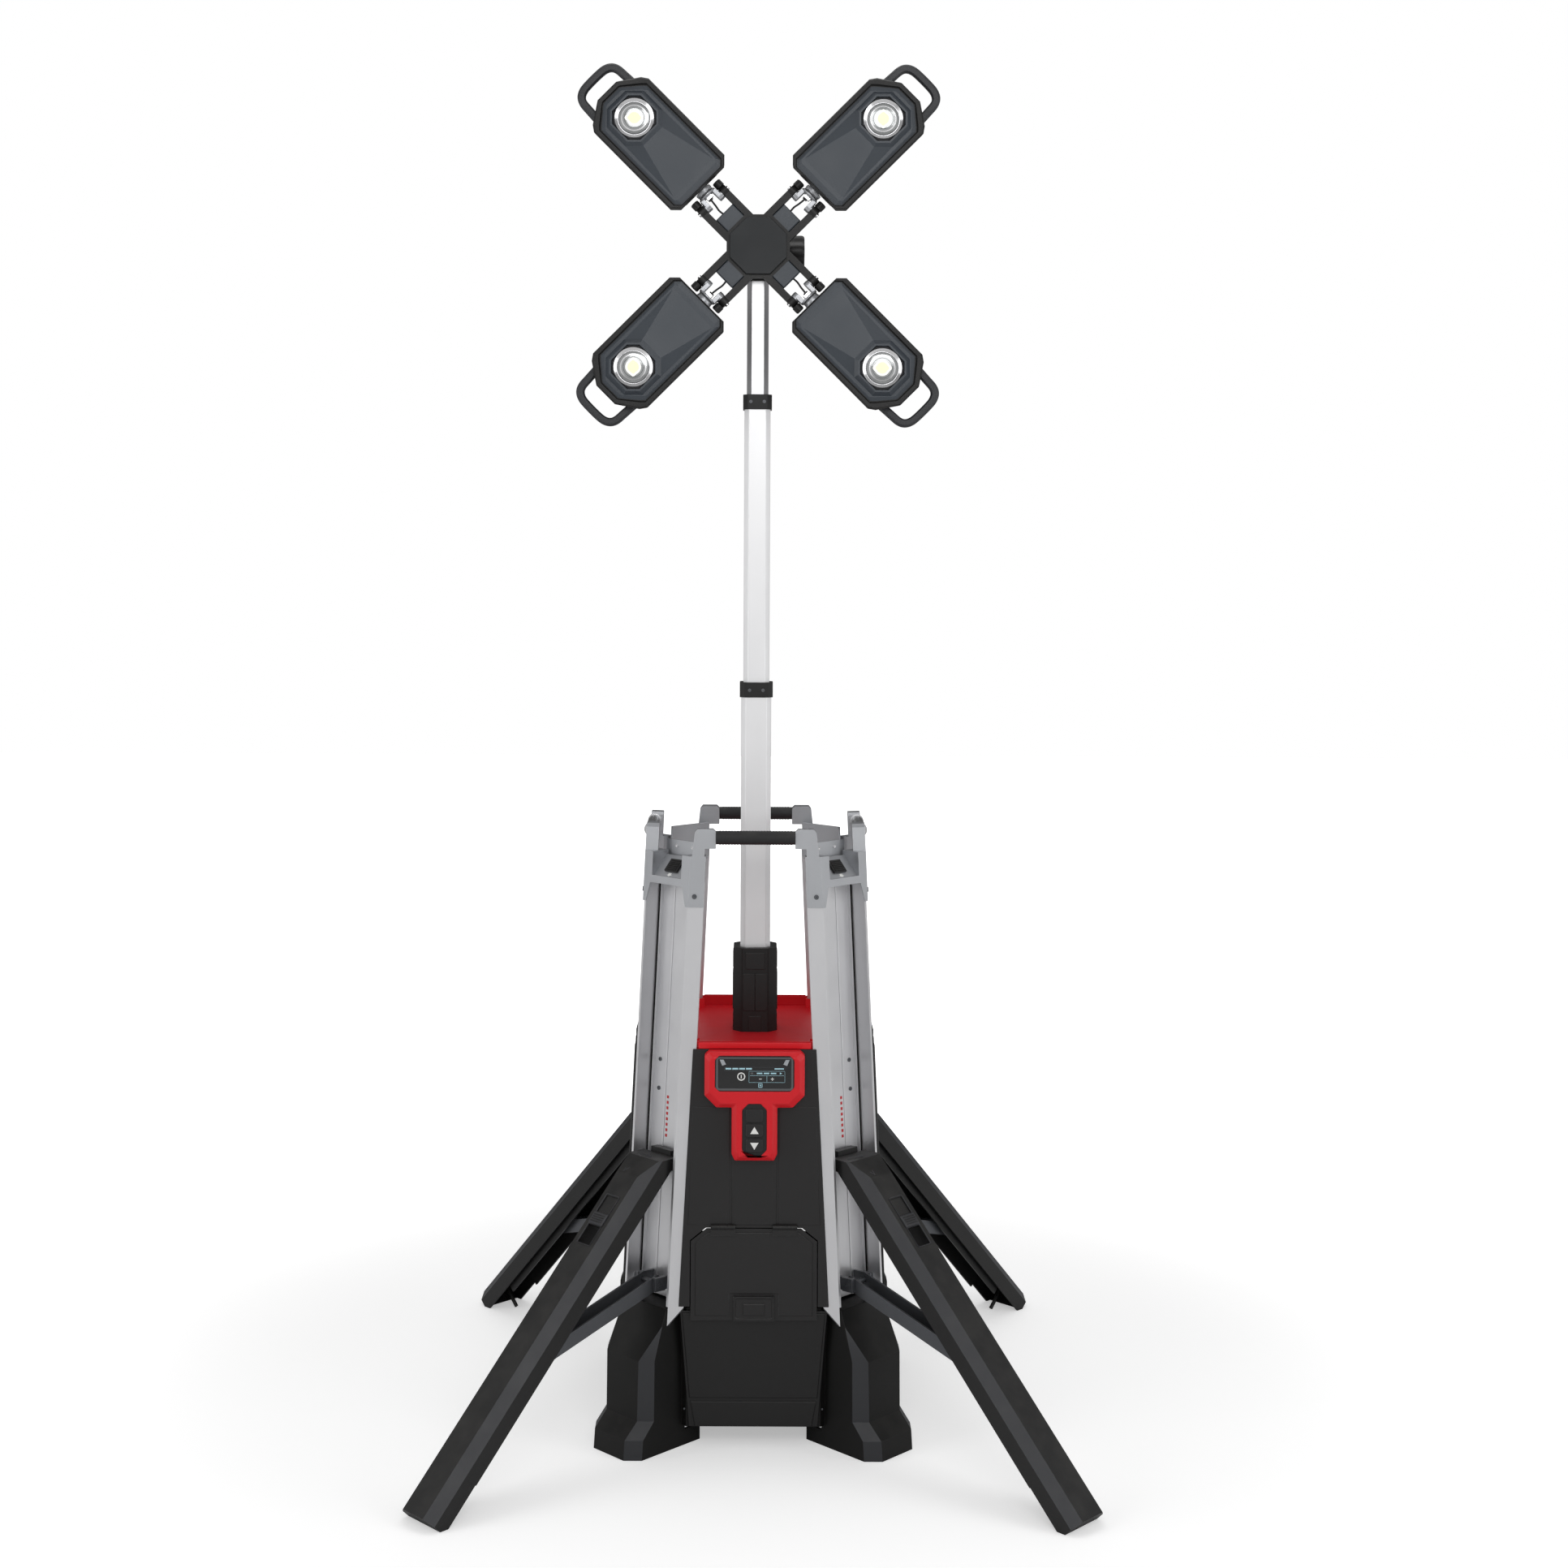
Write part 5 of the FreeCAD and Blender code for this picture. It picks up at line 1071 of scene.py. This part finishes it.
def display_details():
    place, low, y = face_place(0, CONSOLE_FOOT), CONSOLE_FACE, DISPLAY_Y
    bm = bmesh.new()
    pane = rounded_box((0, y), 144.4, 63.4, 7)
    stack(bm, place, [(low - 3, pane), (low + 0.1, pane)], slot=0)
    frame_ring(bm, place, (0, y), 141, 60, 6, 3.4, low, low + 1.6, slot=1)
    top, bottom = low + 0.1, low + 0.45

    def mark(centre, lengths, slot):
        block(bm, place, (centre[0], y + centre[1], (top + bottom) / 2), (*lengths, bottom - top), slot)

    for side in (-1, 1):
        # A wedge light in each upper corner.
        wedge = [(side * x, y + rise) for x, rise in ((64, 25.5), (57, 25.5), (52.5, 17), (59.5, 14.5))]
        prism(bm, place, wedge[::side], top, bottom, 2)
    # The charge row: four lit bars on the left of a long frame, one on its right.
    frame_ring(bm, place, (0, y + 9), 111, 6.4, 1.2, 0.35, top, bottom, slot=1)
    for i in range(4):
        mark((-48 + 12.5 * i, 9.2), (10.6, 2.9), 3)
    mark((45, 9.2), (17, 2.2), 3)
    # The power mark.
    ring_mark(bm, place, (-24.5, y - 5), 7.4, 5.4, top, bottom, 4)
    mark((-24.5, -5), (1.8, 6.4), 4)
    # The brightness box: three bars and an arrow over a minus and a plus.
    frame_ring(bm, place, (22.5, y - 5.5), 66, 20.5, 1.2, 0.45, top, bottom, slot=3)
    for centre, lengths in (((22.5, -3.2), (62, 0.5)), ((22.5, -9.4), (0.5, 11.6)), ((9, 0.9), (10, 2.4)),
                            ((21.8, 0.9), (10, 2.4)), ((34.6, 0.9), (10, 2.4))):
        mark(centre, lengths, 3)
    mark((-5, 0.9), (5, 2.8), 1)
    prism(bm, place, [(46, y - 0.9), (50.5, y + 0.9), (46, y + 2.7)], top, bottom, 3)
    for x, lengths in ((10.5, (5, 1.2)), (32.5, (5.6, 1.2)), (32.5, (1.2, 5.6))):
        mark((x, -9.4), lengths, 4)
    # A small lit square below.
    frame_ring(bm, place, (10.5, y - 21), 7.6, 7.6, 1.2, 1.0, top, bottom, slot=3)
    mark((10.5, -21), (2.4, 2.4), 3)
    return bm


def cut_box(centre, half, tall, cut):
    """A rectangle with cut corners."""
    x, y = centre
    return [(x + half, y - tall + cut), (x + half, y + tall - cut), (x + half - cut, y + tall),
            (x - half + cut, y + tall), (x - half, y + tall - cut), (x - half, y - tall + cut),
            (x - half + cut, y - tall), (x + half - cut, y - tall)]


def keypad_details():
    """The keypad's pane and three keys; the lower two carry an arrow up and an arrow down."""
    place, low, y = face_place(0, CONSOLE_FOOT), CONSOLE_FACE, KEYPAD_Y
    bm = bmesh.new()
    pane = cut_box((0, y), 22.3, 47.3, 8)
    stack(bm, place, [(low - 3.5, pane), (low - 0.2, pane)], slot=0)
    for i in (-1, 0, 1):
        middle = y + 27 * i - 1
        key = rounded_box((0, middle), 31, 24.5, 4)
        top = rounded_box((0, middle), 28.5, 22, 3)
        stack(bm, place, [(low - 1, key), (low + 1.2, key), (low + 2.2, top)], slot=1)
        if i < 1:
            up = 1 if i == 0 else -1
            shape = [(-7.8, middle - 5.6 * up), (7.8, middle - 5.6 * up), (0, middle + 7.2 * up)]
            prism(bm, place, shape[::up], low + 2.1, low + 2.6, 2)
    return bm


softened("control_console", RED, 2.2, 3)
SCREEN_RIM = finish("screen rim", (0.10, 0.103, 0.108), 0.3, grain=800, bump=0.03, dust=0)
keep(display_details(), "display", "body",
     [GLOSS, SCREEN_RIM, GREY_PRINT, CYAN_PRINT, WHITE_PRINT], replaces=["display_panel"])
keep(keypad_details(), "keys", "body", [BLACK, PANEL, WHITE_PRINT], 0.3,
     replaces=["keypad"])
print("console dressed")

# %% [markdown]
# The body's panels are plain mouldings. The front one carries a raised band from the console
# down to the battery door, and the door has a raised field, two hinges and a recessed latch.

# %% Panels and door
PANEL_FOOT, PANEL_FACE, DOOR_TOP = 264, 4.2, 406


def front_band():
    bm = bmesh.new()
    place, low = face_place(0, PANEL_FOOT), PANEL_FACE - 0.5
    raised(bm, place, tapered(41, 149, 41, 277), low, PANEL_FACE + 1.7)
    for side in (-1, 1):
        field = [(side * x, y) for x, y in ((45, 149), (122, 149), (120, 180), (114, 364), (45, 364))]
        raised(bm, place, field[::side], low, PANEL_FACE + 0.9)
    return bm


def other_bands():
    """The side and rear panels' raised fields."""
    bm = bmesh.new()
    for turn in (90, 180, 270):
        place = face_place(turn, PANEL_FOOT)
        raised(bm, place, tapered(124, 24, 106, 452), PANEL_FACE - 0.5, PANEL_FACE + 1.6)
    return bm


def door_details():
    bm = bmesh.new()
    place = face_place(0, DOOR_TOP)
    right = [(46, -118), (46, -158), (108, -158), (108, -26), (84, -7)]
    left = [(-x, y) for x, y in reversed(right)]
    raised(bm, place, left[2:] + right + left[:2], PANEL_FACE - 0.3, PANEL_FACE + 1.4)
    frame_ring(bm, place, (0, -143), 73, 42, 6, 5, 9.0, 11.4)
    raised(bm, place, tapered(20, -156, 20, -134), 9.2, 12.4, 2.5)
    return bm


def hinge_details():
    bm = bmesh.new()
    for side in (-1, 1):
        for i in (-1, 0, 1):
            middle = Matrix.Translation((side * 57 + 15.2 * i, 4, 8.9))
            knuckle = turned(face_place(0, DOOR_TOP) @ middle, "x")
            prism(bm, knuckle, round_outline((0, 0), 4.5, 20), -6.8, 6.8)
    return bm


for node in ("front_panel", "side_panels", "rear_panel"):
    softened(node, PANEL, 1.0)
keep(front_band(), "front_band", "body", PANEL, 0.6)
keep(other_bands(), "panel_fields", "body", PANEL, 0.8)
softened("battery_door", PANEL, 1.4)
keep(door_details(), "door_field", "door", PANEL, 0.7)
keep(hinge_details(), "door_knuckles", "door", BLACK, 0.6)
dress(BLACK, "battery_pack")


TRAY_FLOOR, WALL_FOOT, TRAY_RIM = 0.722, 0.724, 0.745
SLEEVE_CLEAR, OUTER_LIPS = 0.06, 0.2
WALL_INSETS = (0.0005, 0.0045)


def outer_lips(face):
    """1 for the tray's faces that lie outside the posts, which are black like the panels."""
    return 1 if abs(face.calc_center_median().x) > OUTER_LIPS else 0


def tray_border():
    """The ends of each outer edge of the tray's floor."""
    solid = bmesh.new()
    solid.from_mesh(NODES["top_tray"].data)
    bmesh.ops.remove_doubles(solid, verts=solid.verts, dist=MERGED)
    solid.normal_update()
    under = [face for face in solid.faces
             if face.normal.z < -0.9 and abs(face.calc_center_median().z - TRAY_FLOOR) < 0.001]
    border = [[vert.co.copy() for vert in edge.verts] for edge in solid.edges
              if sum(face in under for face in edge.link_faces) == 1
              and min(vert.co.xy.length for vert in edge.verts) > SLEEVE_CLEAR]
    solid.free()
    return border


def tray_walls():
    """The tray's upright walls: its floor's outer border, drawn up to the rim."""
    bm = bmesh.new()

    def side(points, slot):
        bm.faces.new([bm.verts.new(point) for point in points]).material_index = slot

    for ends in tray_border():
        slot = 1 if min(abs(end.x) for end in ends) > OUTER_LIPS else 0
        (a, b), (c, d) = [[end.xy * (1 - inset / end.xy.length) for end in ends] for inset in WALL_INSETS]
        for one, two in ((a, b), (d, c)):
            side([(*one, WALL_FOOT), (*two, WALL_FOOT), (*two, TRAY_RIM), (*one, TRAY_RIM)], slot)
        side([(*point, TRAY_RIM) for point in (a, b, d, c)], slot)
    return bm


softened("top_tray", [RED, BLACK], 1.6, paint=outer_lips)
keep(tray_walls(), "tray_walls", "body", [RED, BLACK])
print("panels dressed")

# %% [markdown]
# The base is a black moulding. On its corner feet, the ridge faces that look along X or Y face the
# camera and the side soft boxes, and are painted lighter as lit, while the rest of a foot looks along
# its corner; the face's own direction is enough to pick its material.

# %% The base
APRON_FACE, BASE_FACE = 237, 232
RIDGE_START = 0.165


def lit_foot_faces(face):
    """1, the lighter slate painted as light, for a face of a corner foot that looks along X or Y."""
    centre = face.calc_center_median()
    axial = max(abs(face.normal.x), abs(face.normal.y)) > 0.75
    return 1 if axial and min(abs(centre.x), abs(centre.y)) > RIDGE_START else 0


def apron_fields():
    """Raised fields with a slot line between them; the front one is the battery's."""
    bm = bmesh.new()
    for field in (tapered(118, 94, 132, 250), tapered(108, 42, 116, 88)):
        raised(bm, wall_place(0, APRON_FACE), field, -0.5, 1.8, 1.5)
    return bm


def base_panels():
    bm = bmesh.new()
    for turn in (90, 270):
        for field in (tapered(106, 94, 112, 240), tapered(100, 44, 104, 88)):
            raised(bm, wall_place(turn, BASE_FACE), field, -0.5, 2.2, 1.5)
    return bm


BASE = finish("base black", (0.0050, 0.0048, 0.0045), 0.5, grain=1100, bump=0.22,
              wear_and_highlight_colour=(0.04, 0.04, 0.042), dust=0.08, specular=0.25)
# The lighter slate on the feet's faces that look along X or Y is painted light.
softened("base_shell", [BASE, SLATE_AND_PAINTED_LIGHT], 1.6, paint=lit_foot_faces)
softened("base_apron", BLACK, 1.6)
keep(apron_fields(), "apron_fields", "body", BLACK, 0.8)
keep(base_panels(), "base_fields", "body", BLACK, 0.8)
pins = [(Vector((side * 0.127, -0.2325, 0.072)), Vector((0, -1, 0))) for side in (-1, 1)]
fasteners("base_pins", "body", STEEL, pins, 1.7, 1.2, 0.4, 16)
print("base dressed")

# %% [markdown]
# Each leg is a black channel with slate chamfers. Near its head the top slopes down, and on the
# top face lies the latch that locks to the casting when the leg is folded: a shallow recess, a
# lever and a deep hole. The recess and the hole are cut out of the solid's copy.

# %% The legs
LEG_TOP, LEG_SIDE, LEG_BEVEL = 42, 45, 17
HEAD_SLOPE = 21 / 74
SLOPE_START, STEEP_START, HEAD_TIP = 56, 10, -20


def slope_level(x):
    """Height of the head's top at a place along the leg: a long slope, then a short steep end."""
    return LEG_TOP - (SLOPE_START - max(x, STEEP_START)) * HEAD_SLOPE - max(0, STEEP_START - x)


def leg_cuts(place):
    hole, recess, slope = bmesh.new(), bmesh.new(), bmesh.new()
    block(hole, place, (185, 0, LEG_TOP), (38, 32, 24))
    block(recess, place, (122.5, 0, LEG_TOP + 1), (35, 32, 6))
    flat = turned(place, "y")
    shape = [(x, slope_level(x) - 0.01) for x in (SLOPE_START, STEEP_START, HEAD_TIP - 2)]
    shape += [(HEAD_TIP - 2, LEG_TOP + 20), (SLOPE_START, LEG_TOP + 20)]
    prism(slope, flat, [(x, -z) for x, z in shape], -LEG_SIDE - 5, LEG_SIDE + 5)
    return [hole, recess, slope]


def leg_head_plate(place):
    """The slope's own plate, which closes the channel again below the cut."""
    bm = bmesh.new()
    rings = []
    for x in (SLOPE_START, STEEP_START, STEEP_START - 4, HEAD_TIP + 2):
        level = slope_level(x)
        half = 0.995 * min(LEG_SIDE, LEG_SIDE - LEG_BEVEL + LEG_TOP - level)
        ring = [(-half, level - 3.6), (half, level - 3.6), (half, level), (-half, level)]
        rings.append([bm.verts.new(place @ Vector((x, y, z))) for y, z in ring])
    skin(bm, rings)
    return bm


def leg_fittings(place):
    bm = bmesh.new()
    raised(bm, place, upright(141, 165, 18.5), LEG_TOP - 1, LEG_TOP + 3.5, 1.5, 1)
    for i in range(4):
        block(bm, place, (146.5 + 4.4 * i, 0, LEG_TOP + 4), (1.6, 28, 1.6))
    # The frames round the recess and the hole are lighter slate: a painted highlight on their edges.
    for x, length in ((122, 40), (185, 42)):
        frame_ring(bm, place, (x, 0), length, 36, 3, 2.0, LEG_TOP - 0.4, LEG_TOP + 1.3, slot=1)
    # The three-sided pocket on the head's slope, drawn as thin lines of lighter slate that paint the highlights on
    # its edges.
    pocket = [(0, -30), (52, -14), (2, 8)]
    for start, end in zip(pocket, pocket[1:] + pocket[:1]):
        ends = [Vector((x, y, slope_level(x) + 0.4)) for x, y in (start, end)]
        sweep(bm, place, ends, tapered(1.2, -1, 1.2, 1), Vector((0, 0, 1)), slot=1)
    return bm


for corner in CORNERS:
    place = leg_place(corner)
    back = place.inverted()

    def chamfers(face):
        """1, the ridge's slate, for a slanted face along the leg's top."""
        out = (back.to_3x3() @ face.normal).normalized()
        high = (back @ face.calc_center_median()).z > 20
        return 1 if high and abs(out.y) > 0.5 and out.z > 0.5 else 0

    softened("outrigger_leg_" + corner, [BLACK, SLATE_AND_PAINTED_LIGHT], 1.4, cuts=leg_cuts(place), paint=chamfers)
    keep(leg_head_plate(place), "leg_head_" + corner, "leg_" + corner, BLACK, 1.0)
    keep(leg_fittings(place), "leg_latch_" + corner, "leg_" + corner, [BLACK, SLATE_AND_PAINTED_LIGHT], 0.5)
    softened("leg_slider_" + corner, BLACK, 1.2)
    softened("leg_brace_" + corner, STEEL, 0.8)
softened("leg_brackets", STEEL, 0.8)
PIVOT_LEVEL, LUG_FACE = 295, 27


def bracket_blocks():
    """A square block on the outer face of each bracket's lugs."""
    bm = bmesh.new()
    for azimuth in CORNERS.values():
        for side in (-1, 1):
            block(bm, post_place(azimuth, PIVOT_LEVEL), (-7, side * (LUG_FACE + 1.5), 0), (26, 3.4, 25))
    return bm


keep(bracket_blocks(), "bracket_blocks", "body", STEEL, 0.8)
bracket_bolts = [spot(post_place(azimuth, PIVOT_LEVEL), (-6, side * (LUG_FACE + 3.1), 0), (0, side, 0))
                 for azimuth in CORNERS.values() for side in (-1, 1)]
fasteners("bracket_bolts", "body", STEEL, bracket_bolts, 7, 2.2, 0.6)
print("legs dressed")

# %% [markdown]
# The wheels stand behind the base. Their tyres get blocks of tread, and each disc gets a ring
# of six round fittings on both sides.

# %% The wheels
AXLE_Y, AXLE_Z, WHEEL_X = 0.205, 0.104, 0.09
TREAD_BLOCKS, HOLE_RING, DISC_FACE = 40, 0.045, 0.0078
dress(TREAD, "tyre_left", "tyre_right")
dress(BLACK, "wheel_left", "wheel_right")
dress(BRIGHT, "wheel_axle")


def tread_blocks(middle):
    bm = bmesh.new()
    for i in range(TREAD_BLOCKS):
        spin = Matrix.Rotation(2 * math.pi * i / TREAD_BLOCKS, 4, "X")
        place = Matrix.Translation((middle, AXLE_Y, AXLE_Z)) @ spin @ MILLIMETRE
        for side in (-1, 1):
            block(bm, place, (side * 10.5, 0, 99.6), (15, 9, 2.4))
    return bm


for side, sign in (("left", -1), ("right", 1)):
    keep(tread_blocks(sign * WHEEL_X), "tread_" + side, "wheel_" + side, TREAD, 0.8)
    nuts = [(Vector((sign * WHEEL_X + face * DISC_FACE, *hole)), Vector((face, 0, 0)))
            for hole in round_outline((AXLE_Y, AXLE_Z), HOLE_RING, 6) for face in (-1, 1)]
    fasteners("wheel_holes_" + side, "wheel_" + side, STEEL, nuts, 11, 1.4, 0.8, 24)
print("wheels dressed")

# %% [markdown]
# The machine is shown the way a catalogue shows it: on a pale floor that runs into white. Seen
# directly the surroundings are white, but they give less light than that, so that the soft boxes
# at the sides still shape the body. Metal and gloss see bright and dark bands instead.

# %% The studio
def either(tree, first, second):
    larger = add(tree, "ShaderNodeMath", operation="MAXIMUM")
    tree.links.new(first, larger.inputs[0])
    tree.links.new(second, larger.inputs[1])
    return larger.outputs["Value"]


MIRRORED = (  # how far towards the camera's side, brightness
    (0.0, 0.10), (0.22, 0.16), (0.40, 0.62), (0.60, 0.66), (0.74, 0.30), (0.88, 0.30), (0.945, 0.80),
    (1.0, 0.90))
FLOOR_REACH = 14


def mirrored_surroundings(tree):
    """What metal and gloss see: bright behind the camera and at the sides, dark between and behind."""
    coords = add(tree, "ShaderNodeTexCoord")
    split = add(tree, "ShaderNodeSeparateXYZ")
    towards = add(tree, "ShaderNodeMapRange", {"From Min": 1.0, "From Max": -1.0})
    ramp = add(tree, "ShaderNodeValToRGB")
    wire(tree, (coords, "Generated", split, "Vector"), (split, "Y", towards, "Value"),
         (towards, "Result", ramp, "Fac"))
    stops = ramp.color_ramp.elements
    for i, (position, level) in enumerate(MIRRORED):
        stop = stops[i] if i < 2 else stops.new(position)
        stop.position, stop.color = position, (level, level, level, 1)
    return ramp.outputs["Color"]


def studio_world(seen=1.0, lighting=0.42):
    world = bpy.data.worlds.new("studio")
    bpy.context.scene.world = world
    world.use_nodes = True
    tree = world.node_tree
    rays = add(tree, "ShaderNodeLightPath")
    direct = either(tree, rays.outputs["Is Camera Ray"], rays.outputs["Is Transmission Ray"])
    reflected = tone(tree, (lighting,) * 3, mirrored_surroundings(tree), rays.outputs["Is Glossy Ray"])
    shown = tone(tree, reflected, (seen,) * 3, direct)
    tree.links.new(shown, tree.nodes["Background"].inputs["Color"])


def studio_floor(near=0.42, far=1.2):
    """A pale matt floor that keeps its shadows near the machine and fades to white farther out."""
    material, tree, shader, _, shade = new_material(
        "studio floor", {"Scale": 220.0, "Patch Scale": 1.5}, ((0.80, 0.80, 0.80), (0.82, 0.82, 0.82)),
        {"Roughness": 0.6, "Emission Color": (1, 1, 1, 1)})
    tree.links.new(shade, shader.inputs["Base Color"])
    rays = add(tree, "ShaderNodeLightPath")
    surface = add(tree, "ShaderNodeNewGeometry")
    away = add(tree, "ShaderNodeVectorMath", operation="LENGTH")
    lift = add(tree, "ShaderNodeMapRange", {"From Min": 0.9, "From Max": 3.0, "To Min": near,
                                            "To Max": far}, interpolation_type="SMOOTHSTEP")
    glow = add(tree, "ShaderNodeMath", operation="MULTIPLY")
    wire(tree, (surface, "Position", away, 0), (away, "Value", lift, "Value"),
         (rays, "Is Camera Ray", glow, 0), (lift, "Result", glow, 1),
         (glow, "Value", shader, "Emission Strength"))
    mesh = bpy.data.meshes.new("floor")
    corners = upright(-FLOOR_REACH, FLOOR_REACH, FLOOR_REACH)
    mesh.from_pydata([(x, y, 0) for x, y in corners], [], [(0, 1, 2, 3)])
    mesh.materials.append(material)
    linked("floor", mesh)


def soft_box(name, place, aim, width, height, power):
    light = bpy.data.lights.new(name, "AREA")
    light.shape, light.size, light.size_y, light.energy = "RECTANGLE", width, height, power
    lamp = linked(name, light)
    lamp.location = place
    lamp.rotation_euler = (Vector(aim) - Vector(place)).to_track_quat("-Z", "Y").to_euler()


studio_world()
studio_floor()
for side, sign in (("left", -1), ("right", 1)):
    soft_box("box " + side, (sign * 3.3, -1.7, 1.7), (0, 0, 1.1), 1.6, 3.2, 34)
soft_box("box front", (0.4, -4.4, 3.4), (0, 0, 1.1), 2.6, 1.6, 46)
soft_box("box top", (0, 0.6, 4.2), (0, 0, 0.8), 2.4, 1.6, 18)
bpy.context.scene.view_settings.view_transform = "Standard"
print("studio lights:", len(bpy.data.lights))

# %% [markdown]
# The photograph was taken from a little over four metres, at about the height of the mast's
# lower section, with the camera level. A small shift instead of a tilt keeps the posts upright.

# %% The camera
CAMERA_AT = (0, -4.265, 1.635)
ROLL = math.radians(0.25)
lens = bpy.data.cameras.new("camera")
lens.lens, lens.sensor_width = 50.25, 36
lens.shift_x, lens.shift_y = 0.0173, -0.1425
camera = linked("camera", lens)
camera.location = CAMERA_AT
camera.rotation_euler = (math.pi / 2, -ROLL, 0)
bpy.context.scene.camera = camera
